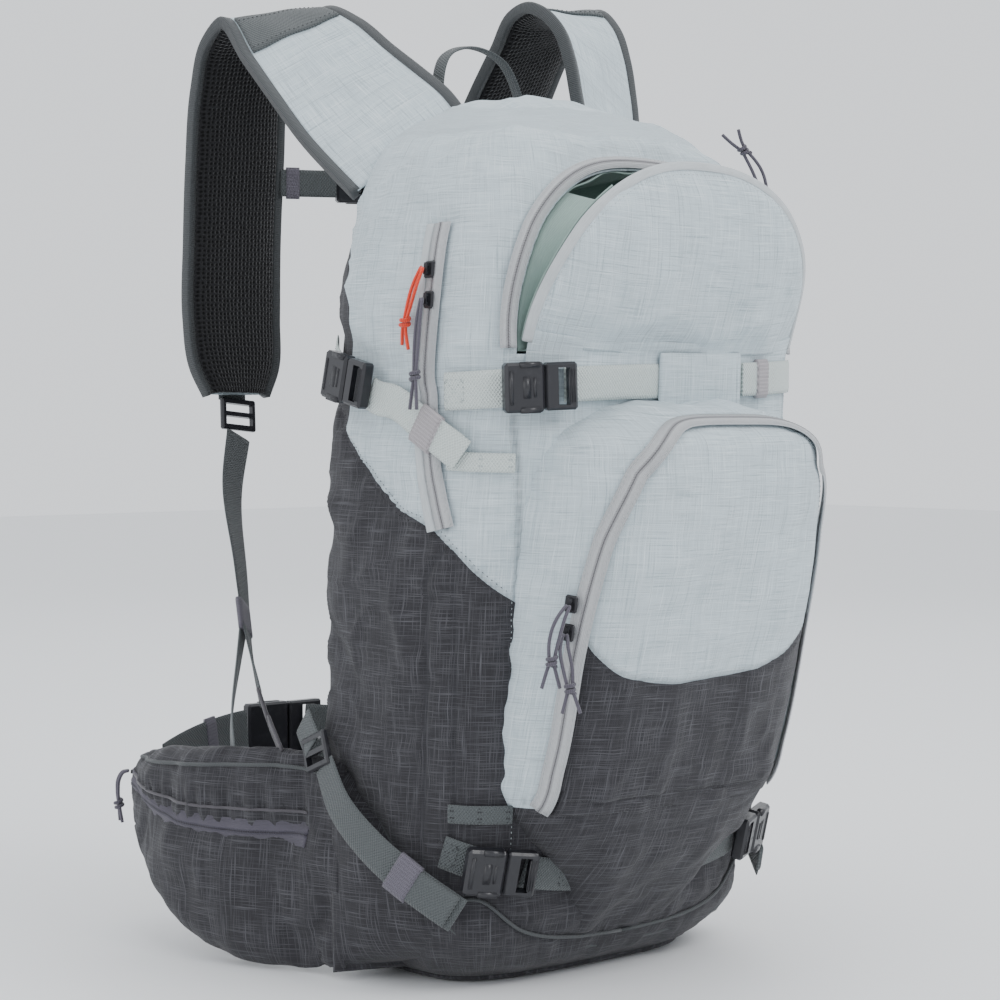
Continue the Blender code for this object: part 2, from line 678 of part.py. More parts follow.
def make_compression_straps():
    """Front strap, the two pairs of side straps and the hip belt's stabilisers."""
    front = body_frame(233.0, 0.3530, 8.0, 0.0006, 0.0032)
    make_buckle("front_buckle", "", front)
    strap = body_ribbon("front_strap", [(243, 0.3540), (258, 0.3555), (272, 0.3570), (290, 0.3590),
                                        (318, 0.3610)], 0.0008, WEB_WIDTH, WEBBING, 16)
    finish_part(strap, "webbing_light", LIGHT_WEB)

    side = body_frame(171.0, 0.3570, 10.0, -0.0083, 0.0044)
    make_buckle("side_buckle", "_left", side)
    make_buckle("side_buckle", "_right", mirrored(side))
    strap = body_ribbon("side_strap_left", [(177.5, 0.3495), (187, 0.3340), (194, 0.3260), (203, 0.3170)],
                        0.0032, WEB_WIDTH, WEBBING, 10)
    finish_part(strap, "webbing_light", LIGHT_WEB)

    lower = body_frame(229.5, 0.0760, 8.0, -0.0010, 0.0034)
    make_buckle("lower_buckle", "_left", lower)
    make_buckle("lower_buckle", "_right", mirrored(lower))

    lock = frame_matrix((-0.1500, 0.0430, 0.1370), (0.0, -0.35, -0.94), (-1.0, 0.12, 0.0))
    make_lock("stabiliser_lock_left", lock)
    make_lock("stabiliser_lock_right", mirrored(lock))


# ---------------------------------------------------------------- harness
PAD_OUTER_LEFT = [(-0.112, 0.050, 0.470), (-0.114, 0.072, 0.487), (-0.115, 0.100, 0.509),
                  (-0.115, 0.127, 0.534), (-0.115, 0.158, 0.564), (-0.115, 0.185, 0.590),
                  (-0.115, 0.205, 0.577), (-0.115, 0.216, 0.548), (-0.115, 0.222, 0.500),
                  (-0.115, 0.225, 0.450), (-0.115, 0.226, 0.400), (-0.112, 0.223, 0.368),
                  (-0.104, 0.220, 0.350)]
PAD_INNER_LEFT = [(-0.050, 0.022, 0.512), (-0.050, 0.045, 0.534), (-0.050, 0.070, 0.550),
                  (-0.050, 0.098, 0.567), (-0.050, 0.133, 0.589), (-0.050, 0.168, 0.601),
                  (-0.050, 0.198, 0.592), (-0.050, 0.214, 0.560), (-0.050, 0.220, 0.505),
                  (-0.050, 0.224, 0.450), (-0.050, 0.225, 0.400), (-0.053, 0.222, 0.368),
                  (-0.062, 0.220, 0.350)]
PAD_OUTER_RIGHT = [(0.112, 0.030, 0.470), (0.114, 0.040, 0.505), (0.115, 0.047, 0.547),
                   (0.115, 0.053, 0.572), (0.115, 0.063, 0.593), (0.115, 0.080, 0.606),
                   (0.115, 0.100, 0.603), (0.115, 0.118, 0.580), (0.115, 0.140, 0.545),
                   (0.115, 0.165, 0.505), (0.115, 0.180, 0.465), (0.115, 0.188, 0.420),
                   (0.113, 0.190, 0.385), (0.104, 0.190, 0.365)]
PAD_INNER_RIGHT = [(0.050, 0.018, 0.512), (0.050, 0.026, 0.535), (0.050, 0.0345, 0.566),
                   (0.050, 0.0427, 0.583), (0.050, 0.060, 0.598), (0.050, 0.075, 0.603),
                   (0.050, 0.092, 0.599), (0.050, 0.108, 0.580), (0.050, 0.135, 0.545),
                   (0.050, 0.160, 0.505), (0.050, 0.178, 0.465), (0.050, 0.187, 0.420),
                   (0.053, 0.189, 0.385), (0.062, 0.189, 0.365)]
PAD_THICKNESS = 0.010


def make_pad(name, low_x, high_x):
    """Shoulder pad: a padded band between two edge lines, its root ending at the bag."""
    pad = strip(name, smooth_path(low_x, 26), smooth_path(high_x, 26), PAD_THICKNESS, 3)
    pad.modifiers["thickness"].offset = -1.0
    add_boolean(pad, BODY_CLEAR)
    finish_part(pad, "light_fabric", LIGHT)


def make_webbing(name, route, first_normal, last_normal, count):
    """Free webbing that turns from one facing to another along its route."""
    path = smooth_path(route, count)
    turn = [Vector(first_normal).lerp(Vector(last_normal), k / (count - 1)) for k in range(count)]
    return finish_part(ribbon(name, path, turn, WEB_WIDTH, WEBBING), "webbing_dark", DARK_WEB)


def make_shoulder_straps():
    """Both shoulder straps with their adjusters, lower webbing and chest strap."""
    make_pad("shoulder_pad_left", PAD_OUTER_LEFT, PAD_INNER_LEFT)
    make_pad("shoulder_pad_right", PAD_INNER_RIGHT, PAD_OUTER_RIGHT)
    left = frame_matrix((-0.0830, 0.2140, 0.3370), (-0.10, -0.18, -0.98), (0, 1, -0.18))
    right = frame_matrix((0.0830, 0.1830, 0.3520), (0.10, -0.18, -0.98), (0, 1, -0.18))
    make_lock("strap_adjuster_left", left)
    make_lock("strap_adjuster_right", right)
    make_webbing("shoulder_webbing_left",
                 [(-0.0850, 0.2120, 0.3235), (-0.1020, 0.1955, 0.2900), (-0.1200, 0.1620, 0.2400),
                  (-0.1320, 0.1360, 0.1920), (-0.1420, 0.1110, 0.1620)],
                 (-0.1, 1.0, -0.2), (-0.74, 0.67, 0.1), 12)
    make_webbing("shoulder_webbing_right",
                 [(0.0850, 0.1810, 0.3385), (0.1000, 0.1700, 0.2950), (0.1180, 0.1480, 0.2400),
                  (0.1300, 0.1300, 0.1920), (0.1420, 0.1110, 0.1620)],
                 (0.1, 1.0, -0.2), (0.74, 0.67, 0.1), 12)

    start, end = Vector((-0.0485, 0.2140, 0.4915)), Vector((0.0485, 0.1640, 0.4915))
    along = (end - start).normalized()
    out = Vector((-along.y, along.x, 0))
    middle = start.lerp(end, 0.52)
    make_buckle("sternum_buckle", "", frame_matrix(middle + out * 0.0022, along, out), 0.85)
    for name, a, b in (("sternum_strap_left", start, middle - along * 0.0190),
                       ("sternum_strap_right", middle + along * 0.0125, end)):
        path = [a.lerp(b, k / 3) for k in range(4)]
        made = ribbon(name, path, [out] * 4, WEB_WIDTH * 0.9, WEBBING)
        finish_part(made, "webbing_dark", DARK_WEB)

    loop = tube("haul_loop", [(-0.034, 0.0665, 0.5260), (-0.033, 0.0700, 0.5420),
                              (-0.024, 0.0740, 0.5620), (0.0, 0.0760, 0.5700),
                              (0.024, 0.0740, 0.5620), (0.033, 0.0700, 0.5420),
                              (0.034, 0.0665, 0.5260)], 0.0030, 17)
    loop.data.transform(Matrix.Translation((0, -0.0665, -0.5240)))
    loop.location = (0, 0.0665, 0.5240)
    loop.parent = BASE_FRAME
    finish_part(loop, "webbing_dark", DARK_WEB)


FIN_INNER = [(-0.1385, 0.030), (-0.1390, 0.070), (-0.1390, 0.110), (-0.1380, 0.150), (-0.1340, 0.190),
             (-0.1240, 0.230), (-0.1080, 0.262)]
FIN_THICK = [0.0055, 0.012, 0.027, 0.036, 0.034, 0.026, 0.013]
FIN_LOW = [0.008, 0.003, 0.003, 0.012, 0.034, 0.062, 0.080]
FIN_HIGH = [0.130, 0.134, 0.132, 0.128, 0.123, 0.117, 0.112]


def make_hip_belt():
    """Hip fins with their zipped pockets, and the belt's webbing and buckle between them."""
    for side, suffix in ((1, "_left"), (-1, "_right")):
        stations = zip(FIN_INNER, FIN_THICK, FIN_LOW, FIN_HIGH)
        path = smooth_path([(*place, *rest) for place, *rest in stations], 15)
        rings = []
        for k, (x, y, thick, low, high) in enumerate(path):
            ahead = path[min(k + 1, 14)][:2] - path[max(k - 1, 0)][:2]
            out = Vector((-ahead[1], ahead[0], 0)).normalized()
            ring = []
            for j in range(18):
                a = 2 * math.pi * j / 18
                c = math.copysign(abs(math.cos(a)) ** 0.75, math.cos(a))
                s = math.copysign(abs(math.sin(a)) ** 0.75, math.sin(a))
                place = Vector((x, y, (low + high) / 2 + (high - low) / 2 * s)) + out * thick * (1 + c) / 2
                ring.append((side * place.x, place.y, place.z))
            rings.append(ring)
        fin = loft("hip_fin" + suffix, rings)
        finish_part(fin, "dark_fabric", DARK)

    def belt(x):
        return Vector((x, 0.2875 - 1.75 * x * x, 0.112 - 1.4 * x * x))

    for name, first, last in (("hip_webbing_left", -0.1040, -0.0240),
                              ("hip_webbing_right", 0.0260, 0.1040)):
        path = [belt(first + (last - first) * k / 9) for k in range(10)]
        made = ribbon(name, path, [(3.5 * p.x, 1, 0) for p in path], HIP_WEB_WIDTH, WEBBING)
        finish_part(made, "webbing_dark", DARK_WEB)
    frame = frame_matrix((0.0120, 0.2900, 0.112), (1, 0, 0), (0, 1, 0))
    make_buckle("hip_buckle", "", frame, 1.5)


make_shell()
make_back()
make_goggle_pocket()
make_front_pocket()
make_zips()
make_sliders()
make_compression_straps()
make_shoulder_straps()
make_hip_belt()
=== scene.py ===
"""Looks of the ski backpack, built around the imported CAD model: fabrics, straps, zips, cords.

Shapes are made in the pack's own frame (origin under the middle of the bag) and shifted to
the row frame in one place, mesh_object(). All lengths are in metres.
"""
import json
import math

import bmesh
import bpy
import numpy as np
from mathutils import Matrix, Vector
from mathutils.bvhtree import BVHTree

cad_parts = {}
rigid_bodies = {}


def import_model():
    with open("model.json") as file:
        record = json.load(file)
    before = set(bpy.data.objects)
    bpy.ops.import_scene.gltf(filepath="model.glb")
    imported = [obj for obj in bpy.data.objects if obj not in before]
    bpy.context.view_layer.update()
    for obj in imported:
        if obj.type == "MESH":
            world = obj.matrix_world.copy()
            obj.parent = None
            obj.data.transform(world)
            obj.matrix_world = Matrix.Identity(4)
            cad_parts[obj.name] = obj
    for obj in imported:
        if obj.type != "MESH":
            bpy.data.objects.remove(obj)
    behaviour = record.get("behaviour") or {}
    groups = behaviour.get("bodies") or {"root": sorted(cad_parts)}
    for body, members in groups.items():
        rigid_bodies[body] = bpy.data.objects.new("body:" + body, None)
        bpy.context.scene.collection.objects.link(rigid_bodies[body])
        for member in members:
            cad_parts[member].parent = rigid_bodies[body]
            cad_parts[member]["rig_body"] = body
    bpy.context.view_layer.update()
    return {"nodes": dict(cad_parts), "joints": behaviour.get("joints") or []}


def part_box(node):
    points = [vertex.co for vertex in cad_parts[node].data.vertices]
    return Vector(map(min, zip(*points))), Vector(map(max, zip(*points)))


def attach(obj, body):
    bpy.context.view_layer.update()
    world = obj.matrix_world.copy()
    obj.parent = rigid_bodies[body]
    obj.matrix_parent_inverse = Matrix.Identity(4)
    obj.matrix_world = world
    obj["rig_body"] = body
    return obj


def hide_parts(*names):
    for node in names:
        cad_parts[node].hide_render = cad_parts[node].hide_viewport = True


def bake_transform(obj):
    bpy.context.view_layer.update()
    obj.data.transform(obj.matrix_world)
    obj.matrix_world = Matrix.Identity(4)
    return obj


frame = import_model()

# ---------------------------------------------------------------- driving dimensions
SHIFT = np.array([0.0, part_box("back_panel")[1].y - 0.0860, 0.0])
BODY_Z = [0.0035, 0.02, 0.06, 0.12, 0.20, 0.30, 0.38, 0.44, 0.48, 0.505, 0.522]
BODY_HALF = [0.100, 0.118, 0.130, 0.136, 0.139, 0.140, 0.137, 0.128, 0.110, 0.085, 0.050]
BODY_BACK = [0.065, 0.078, 0.085, 0.086, 0.086, 0.085, 0.082, 0.078, 0.073, 0.065, 0.045]
BODY_FRONT = [-0.035, -0.055, -0.070, -0.082, -0.092, -0.102, -0.108, -0.102, -0.080, -0.050, -0.012]
BODY_POWER = 3.4
POCKET_Z = [0.030, 0.06, 0.09, 0.115, 0.14, 0.20, 0.265, 0.305, 0.327, 0.340]
POCKET_HALF = [0.043, 0.056, 0.082, 0.102, 0.106, 0.107, 0.105, 0.100, 0.089, 0.062]
POCKET_FRONT = [-0.062, -0.086, -0.105, -0.114, -0.122, -0.140, -0.157, -0.163, -0.158, -0.134]
POCKET_ROOT, POCKET_POWER = -0.050, 3.6
FLAP = (0.1115, 0.3725, 0.4805, 2.4)
FLAP_HINGE = np.array([0.0, -0.1082, 0.3690])
FLAP_OPEN = math.radians(22.0)
PANEL = (0.0955, 0.1175, 0.3325, 4.0)
BACK = (0.0940, 0.0950, 0.4400, 5.0)
SEAM_GAP = 0.0015
WEBBING, WEB_WIDTH = 0.0015, 0.020
FABRIC = 0.0014


# ---------------------------------------------------------------- curves and surfaces
def smooth(stations, values, at):
    """Smooth curve through the values given at the stations."""
    stations, values = np.asarray(stations, float), np.asarray(values, float)
    at = np.clip(np.asarray(at, float), stations[0], stations[-1])
    index = np.clip(np.searchsorted(stations, at, side="right") - 1, 0, len(stations) - 2)
    span = stations[index + 1] - stations[index]
    t = (at - stations[index]) / span
    slope = np.gradient(values, stations)
    start, end = slope[index] * span, slope[index + 1] * span
    return ((2 * t**3 - 3 * t**2 + 1) * values[index] + (t**3 - 2 * t**2 + t) * start
            + (-2 * t**3 + 3 * t**2) * values[index + 1] + (t**3 - t**2) * end)


def smooth_path(points, count):
    """Evenly spread points on a smooth curve through a few given ones."""
    points = np.asarray(points, float)
    along = length_along(points)
    at = np.linspace(0.0, along[-1], count)
    return np.stack([smooth(along, points[:, k], at) for k in range(points.shape[1])], -1)


def length_along(points):
    """Distance along a polyline at each of its points."""
    steps = np.linalg.norm(np.diff(np.asarray(points, float), axis=0), axis=1)
    return np.concatenate([[0.0], np.cumsum(steps)])


def unit(vectors):
    """The vectors at length one."""
    vectors = np.asarray(vectors, float)
    return vectors / np.maximum(np.linalg.norm(vectors, axis=-1, keepdims=True), 1e-12)


def signed_power(value, power):
    """Power of a value's size, with the value's own sign."""
    return np.sign(value) * np.abs(value) ** power


def body_point(u, z, off=0.0):
    """Point on the bag: u is 0 at +X, 90 at the back, 180 at -X, 270 at the front."""
    u, z = np.radians(np.asarray(u, float)), np.asarray(z, float)
    half = smooth(BODY_Z, BODY_HALF, z) + off
    back, front = smooth(BODY_Z, BODY_BACK, z) + off, smooth(BODY_Z, BODY_FRONT, z) - off
    x = half * signed_power(np.cos(u), 2 / BODY_POWER)
    y = (back + front) / 2 + (back - front) / 2 * signed_power(np.sin(u), 2 / BODY_POWER)
    return np.stack(np.broadcast_arrays(x, y, z), -1)


def body_normal(u, z):
    """Outward normal of the bag."""
    around = body_point(np.asarray(u) + 0.05, z) - body_point(np.asarray(u) - 0.05, z)
    up = body_point(u, np.asarray(z) + 0.001) - body_point(u, np.asarray(z) - 0.001)
    return unit(np.cross(around, up))


def side_u(y, z):
    """Angle of the place on the bag's left side at a depth and height."""
    back, front = smooth(BODY_Z, BODY_BACK, z), smooth(BODY_Z, BODY_FRONT, z)
    s = (np.asarray(y, float) - (back + front) / 2) / ((back - front) / 2)
    return 180 - np.degrees(np.arcsin(signed_power(np.clip(s, -1, 1), BODY_POWER / 2)))


def body_depth(x, z, sign=-1):
    """Depth of the bag's front face, or of its back with sign 1."""
    half = smooth(BODY_Z, BODY_HALF, z)
    back, front = smooth(BODY_Z, BODY_BACK, z), smooth(BODY_Z, BODY_FRONT, z)
    side = (1 - np.minimum(np.abs(x / half), 1.0) ** BODY_POWER) ** (1 / BODY_POWER)
    return (back + front) / 2 + sign * (back - front) / 2 * side


def body_back(x, z):
    """Depth of the bag's back face."""
    return body_depth(x, z, 1)


def pocket_depth(x, z):
    """Depth of the front pocket's face."""
    half, front = smooth(POCKET_Z, POCKET_HALF, z), smooth(POCKET_Z, POCKET_FRONT, z)
    side = (1 - np.minimum(np.abs(x / half), 1.0) ** POCKET_POWER) ** (1 / POCKET_POWER)
    return POCKET_ROOT - (POCKET_ROOT - front) * side


def face_normal(surface, x, z, sign=-1.0):
    """Normal of a depth surface, towards -Y or with sign 1 towards +Y."""
    step = 0.0004
    dx = (surface(x + step, z) - surface(x - step, z)) / (2 * step)
    dz = (surface(x, z + step) - surface(x, z - step)) / (2 * step)
    return unit(np.stack([-sign * dx, sign * np.ones_like(dx), -sign * dz], -1))


def arch_half(z, half, base, top, power):
    """Half width of an arched outline at a height."""
    t = np.clip((np.asarray(z, float) - base) / (top - base), 0, 1)
    return half * (1 - t**power) ** (1 / power)


def arch_line(half, base, top, power, count):
    """Points (x, z) along an arch, from its foot at -X over the top to the foot at +X, evenly spread."""
    a = np.pi * (1 - np.linspace(0, 1, 400))
    x = half * signed_power(np.cos(a), 2 / power)
    z = base + (top - base) * np.abs(np.sin(a)) ** (2 / power)
    line = np.stack([x, z], -1)
    along = length_along(line)
    at = np.linspace(0, along[-1], count)
    return np.stack([np.interp(at, along, line[:, 0]), np.interp(at, along, line[:, 1])], -1)


def ripple(places, size, seed, count=10):
    """Smooth wandering value between about -1 and 1, with hills about one size apart."""
    random = np.random.default_rng(seed)
    total = np.zeros(np.asarray(places).shape[:-1])
    for _ in range(count):
        wave = unit(random.normal(size=3)) * 2 * np.pi / size * random.uniform(0.6, 1.6)
        total += np.sin(places @ wave + random.uniform(0, 2 * np.pi))
    return total / math.sqrt(count)


def distance_to(places, line):
    """Distance from each place to a polyline that has close points."""
    places, line = np.asarray(places, float), np.asarray(line, float)
    best = np.full(places.shape[:-1], 1e9)
    for point in line:
        best = np.minimum(best, ((places - point) ** 2).sum(-1))
    return np.sqrt(best)


def mirror(points):
    """The same places on the other side of the pack."""
    return np.asarray(points, float) * np.array([-1.0, 1.0, 1.0])


# ---------------------------------------------------------------- materials
def node(tree, kind, values=None, **settings):
    """A shader node with its inputs set to values or linked to sockets."""
    made = tree.nodes.new("ShaderNode" + kind)
    for name, value in settings.items():
        setattr(made, name, value)
    for key, value in (values or {}).items():
        if isinstance(value, bpy.types.NodeSocket):
            tree.links.new(value, made.inputs[key])
        else:
            made.inputs[key].default_value = value
    return made


def maths(tree, operation, a, b=0.0, c=0.0):
    """Result of a math node."""
    return node(tree, "Math", {0: a, 1: b, 2: c}, operation=operation).outputs[0]


def blend_colour(tree, factor, a, b, mode="MIX"):
    """Result of a colour mix."""
    made = node(tree, "Mix", {0: factor, 6: a, 7: b}, data_type="RGBA", blend_type=mode)
    return made.outputs[2]


def rgb(*values):
    return (*values, 1.0)


def start_material(name, roughness, sheen=0.0, specular=0.5):
    """A Principled material and its tree."""
    made = bpy.data.materials.new(name)
    made.use_nodes = True
    shader = made.node_tree.nodes["Principled BSDF"]
    shader.inputs["Roughness"].default_value = roughness
    shader.inputs["Sheen Weight"].default_value = sheen
    shader.inputs["Sheen Roughness"].default_value = 0.45
    shader.inputs["Specular IOR Level"].default_value = specular
    return made, made.node_tree, shader


def add_bump(tree, shader, height, strength, distance):
    """Relief from a height."""
    made = node(tree, "Bump", {"Strength": strength, "Distance": distance, "Height": height})
    tree.links.new(made.outputs[0], shader.inputs["Normal"])


def attribute(tree, name):
    """Attribute node of a mesh value."""
    return node(tree, "Attribute", attribute_name=name)


def cloth_place(tree):
    """Place in the cloth, in metres: along, across."""
    return attribute(tree, "cloth").outputs["Vector"]


def streaks(tree, place, scale, low, high, offset=0.0):
    """Thin uneven threads: noise stretched along one direction."""
    mapped = node(tree, "Mapping", {"Vector": place, "Location": (offset,) * 3, "Scale": scale})
    noise = node(tree, "TexNoise", {"Vector": mapped.outputs[0], "Scale": 1.0, "Detail": 2.0,
                                    "Roughness": 0.55})
    made = node(tree, "MapRange", {"Value": noise.outputs[0], "From Min": low, "From Max": high})
    return made.outputs[0]


LIGHT_CLOTH = dict(base=(0.500, 0.585, 0.625), bright=(0.80, 0.87, 0.90), dim=(0.20, 0.26, 0.29),
                   bright_amount=0.62, dim_amount=0.62)
DARK_CLOTH = dict(base=(0.027, 0.026, 0.030), bright=(0.155, 0.155, 0.172), dim=(0.012, 0.012, 0.014),
                  bright_amount=0.55, dim_amount=0.50)


def slub(tree, place, base, bright, dim, bright_amount, dim_amount):
    """Melange cloth with uneven threads both ways: its colour and its height."""
    weft = streaks(tree, place, (34, 1900, 1), 0.52, 0.72)
    warp = streaks(tree, place, (1900, 38, 1), 0.54, 0.74, 3.7)
    deep = streaks(tree, place, (30, 1500, 1), 0.53, 0.73, 9.1)
    wide = streaks(tree, place, (1400, 26, 1), 0.54, 0.74, 5.3)
    cloud = node(tree, "TexNoise", {"Vector": place, "Scale": 22.0, "Detail": 3.0}).outputs[0]
    threads = maths(tree, "MAXIMUM", weft, warp)
    shadow = maths(tree, "MAXIMUM", deep, wide)
    colour = blend_colour(tree, maths(tree, "MULTIPLY", shadow, dim_amount), rgb(*base), rgb(*dim))
    colour = blend_colour(tree, maths(tree, "MULTIPLY", threads, bright_amount), colour, rgb(*bright))
    tone = maths(tree, "MULTIPLY_ADD", cloud, 0.22, 0.89)
    colour = node(tree, "VectorMath", {0: colour, 3: tone}, operation="SCALE").outputs[0]
    return colour, maths(tree, "SUBTRACT", threads, shadow)


def fine_weave(tree, place, size):
    """Height of a plain weave."""
    parts = node(tree, "SeparateXYZ", {0: place})
    turn = 2 * math.pi / size
    a = maths(tree, "SINE", maths(tree, "MULTIPLY", parts.outputs[0], turn))
    b = maths(tree, "SINE", maths(tree, "MULTIPLY", parts.outputs[1], turn))
    return maths(tree, "MULTIPLY", a, b)


def painted_seam_shade(tree, colour):
    """Painted shade: colour a little darker along seams, where the mesh value 'seam' is near 1."""
    seam = attribute(tree, "seam").outputs["Fac"]
    return blend_colour(tree, maths(tree, "MULTIPLY", seam, 0.45), colour, rgb(0.03, 0.03, 0.035))


def fabric_material(name, cloths, roughness=0.82):
    """Slub fabric; with two cloths, the mesh value 'dark' says where the second one is."""
    made, tree, shader = start_material(name, roughness, sheen=0.12, specular=0.3)
    place = cloth_place(tree)
    colour, height = slub(tree, place, **cloths[0])
    if len(cloths) > 1:
        other, other_height = slub(tree, place, **cloths[1])
        side = maths(tree, "GREATER_THAN", attribute(tree, "dark").outputs["Fac"], 0.0)
        colour = blend_colour(tree, side, colour, other)
        height = node(tree, "Mix", {0: side, 2: height, 3: other_height}).outputs[0]
    # painted shade: the cloth colour is darkened along the seams
    tree.links.new(painted_seam_shade(tree, colour), shader.inputs["Base Color"])
    weave = maths(tree, "MULTIPLY_ADD", fine_weave(tree, place, 0.0012), 0.5, height)
    add_bump(tree, shader, weave, 0.5, 0.00022)
    return made


def plain_cloth_material(name, colour, roughness, sheen=0.1, weave=0.0011, variation=0.25, seams=False):
    """Smooth nylon: fine weave and slow changes of tone."""
    made, tree, shader = start_material(name, roughness, sheen=sheen, specular=0.35)
    place = cloth_place(tree)
    cloud = node(tree, "TexNoise", {"Vector": place, "Scale": 60.0, "Detail": 4.0}).outputs[0]
    thread = streaks(tree, place, (120, 1500, 1), 0.40, 0.70)
    tone = maths(tree, "MULTIPLY_ADD", cloud, variation, 1 - variation / 2)
    tone = maths(tree, "MULTIPLY_ADD", thread, variation / 2, tone)
    tinted = node(tree, "VectorMath", {0: colour, 3: tone}, operation="SCALE").outputs[0]
    # with seams, painted shade darkens the colour along the seams
    if seams:
        tinted = painted_seam_shade(tree, tinted)
    tree.links.new(tinted, shader.inputs["Base Color"])
    height = maths(tree, "ADD", fine_weave(tree, place, weave), thread)
    add_bump(tree, shader, height, 0.4, 0.0002)
    return made


def webbing_material(name, colour, roughness=0.7, rib=0.0019, rows=0.0026, depth=0.00045):
    """Woven strap: ribs across it in rows along it."""
    made, tree, shader = start_material(name, roughness, sheen=0.15, specular=0.35)
    place = cloth_place(tree)
    parts = node(tree, "SeparateXYZ", {0: place})
    along = maths(tree, "MULTIPLY", parts.outputs[0], 2 * math.pi / rib)
    across = maths(tree, "MULTIPLY", parts.outputs[1], 2 * math.pi / rows)
    row = maths(tree, "SINE", across)
    shifted = maths(tree, "MULTIPLY_ADD", maths(tree, "SIGN", row), math.pi / 2, along)
    height = maths(tree, "MULTIPLY", maths(tree, "SINE", shifted), maths(tree, "ABSOLUTE", row))
    noise = node(tree, "TexNoise", {"Vector": place, "Scale": 700.0, "Detail": 2.0}).outputs[0]
    tone = maths(tree, "MULTIPLY_ADD", height, 0.13, 0.86)
    tone = maths(tree, "MULTIPLY_ADD", noise, 0.20, tone)
    tinted = node(tree, "VectorMath", {0: colour, 3: tone}, operation="SCALE").outputs[0]
    tree.links.new(tinted, shader.inputs["Base Color"])
    add_bump(tree, shader, height, 0.8, depth)
    return made


def zip_material(name, tape, centre):
    """Zip tape with fine ribs and a herringbone line where its two halves meet."""
    made, tree, shader = start_material(name, 0.75, sheen=0.1, specular=0.35)
    place = cloth_place(tree)
    parts = node(tree, "SeparateXYZ", {0: place})
    across = maths(tree, "ABSOLUTE", parts.outputs[1])
    slant = maths(tree, "MULTIPLY_ADD", across, 0.9, parts.outputs[0])
    teeth = maths(tree, "SINE", maths(tree, "MULTIPLY", slant, 2 * math.pi / 0.0016))
    ribs = maths(tree, "SINE", maths(tree, "MULTIPLY", across, 2 * math.pi / 0.0009))
    middle = node(tree, "MapRange", {"Value": across, "From Min": 0.0017, "From Max": 0.0011}).outputs[0]
    line = node(tree, "MapRange", {"Value": across, "From Min": 0.0005, "From Max": 0.0002}).outputs[0]
    height = node(tree, "Mix", {0: middle, 2: ribs, 3: maths(tree, "MULTIPLY", teeth, 2.0)}).outputs[0]
    noise = node(tree, "TexNoise", {"Vector": place, "Scale": 500.0}).outputs[0]
    tone = maths(tree, "MULTIPLY_ADD", noise, 0.25, 0.87)
    colour = blend_colour(tree, middle, rgb(*tape), rgb(*centre))
    colour = blend_colour(tree, line, colour, rgb(*[0.45 * c for c in centre]))
    colour = node(tree, "VectorMath", {0: colour, 3: tone}, operation="SCALE").outputs[0]
    tree.links.new(colour, shader.inputs["Base Color"])
    add_bump(tree, shader, height, 0.6, 0.0003)
    return made


def mesh_material(name, colour):
    """Spacer mesh: rows of small open cells."""
    made, tree, shader = start_material(name, 0.9, sheen=0.2, specular=0.2)
    place = cloth_place(tree)
    cells = node(tree, "TexVoronoi", {"Vector": place, "Scale": 330.0, "Randomness": 0.25},
                 voronoi_dimensions="2D")
    thread = node(tree, "MapRange", {"Value": cells.outputs[0], "From Min": 0.22,
                                     "From Max": 0.5}).outputs[0]
    tinted = blend_colour(tree, thread, rgb(0.0025, 0.0025, 0.003), rgb(*colour))
    tree.links.new(tinted, shader.inputs["Base Color"])
    add_bump(tree, shader, thread, 0.9, 0.0012)
    return made


def hard_material(name, colour, roughness, metallic=0.0):
    """Moulded plastic or painted metal with fine grain and scuffs."""
    made, tree, shader = start_material(name, roughness)
    shader.inputs["Metallic"].default_value = metallic
    place = node(tree, "TexCoord").outputs["Object"]
    grain = node(tree, "TexNoise", {"Vector": place, "Scale": 2600.0, "Detail": 2.0}).outputs[0]
    scuff = node(tree, "TexNoise", {"Vector": place, "Scale": 260.0, "Detail": 5.0}).outputs[0]
    marks = node(tree, "MapRange", {"Value": scuff, "From Min": 0.56, "From Max": 0.70}).outputs[0]
    tinted = blend_colour(tree, maths(tree, "MULTIPLY", marks, 0.20), rgb(*colour),
                          rgb(*[min(1.0, c * 2.2 + 0.01) for c in colour]))
    tree.links.new(tinted, shader.inputs["Base Color"])
    rough = maths(tree, "MULTIPLY_ADD", marks, 0.22, roughness)
    tree.links.new(rough, shader.inputs["Roughness"])
    add_bump(tree, shader, grain, 0.25, 0.0001)
    return made


def cord_material(name, colour):
    """Braided cord."""
    made, tree, shader = start_material(name, 0.6, sheen=0.25, specular=0.4)
    place = cloth_place(tree)
    parts = node(tree, "SeparateXYZ", {0: place})
    along = maths(tree, "MULTIPLY", parts.outputs[0], 2 * math.pi / 0.0016)
    around = maths(tree, "MULTIPLY", parts.outputs[1], 2 * math.pi / 0.0016)
    height = maths(tree, "MULTIPLY", maths(tree, "SINE", maths(tree, "ADD", along, around)),
                   maths(tree, "SINE", maths(tree, "SUBTRACT", along, around)))
    tone = maths(tree, "MULTIPLY_ADD", height, 0.30, 0.88)
    tinted = node(tree, "VectorMath", {0: colour, 3: tone}, operation="SCALE").outputs[0]
    tree.links.new(tinted, shader.inputs["Base Color"])
    add_bump(tree, shader, height, 0.8, 0.0003)
    return made


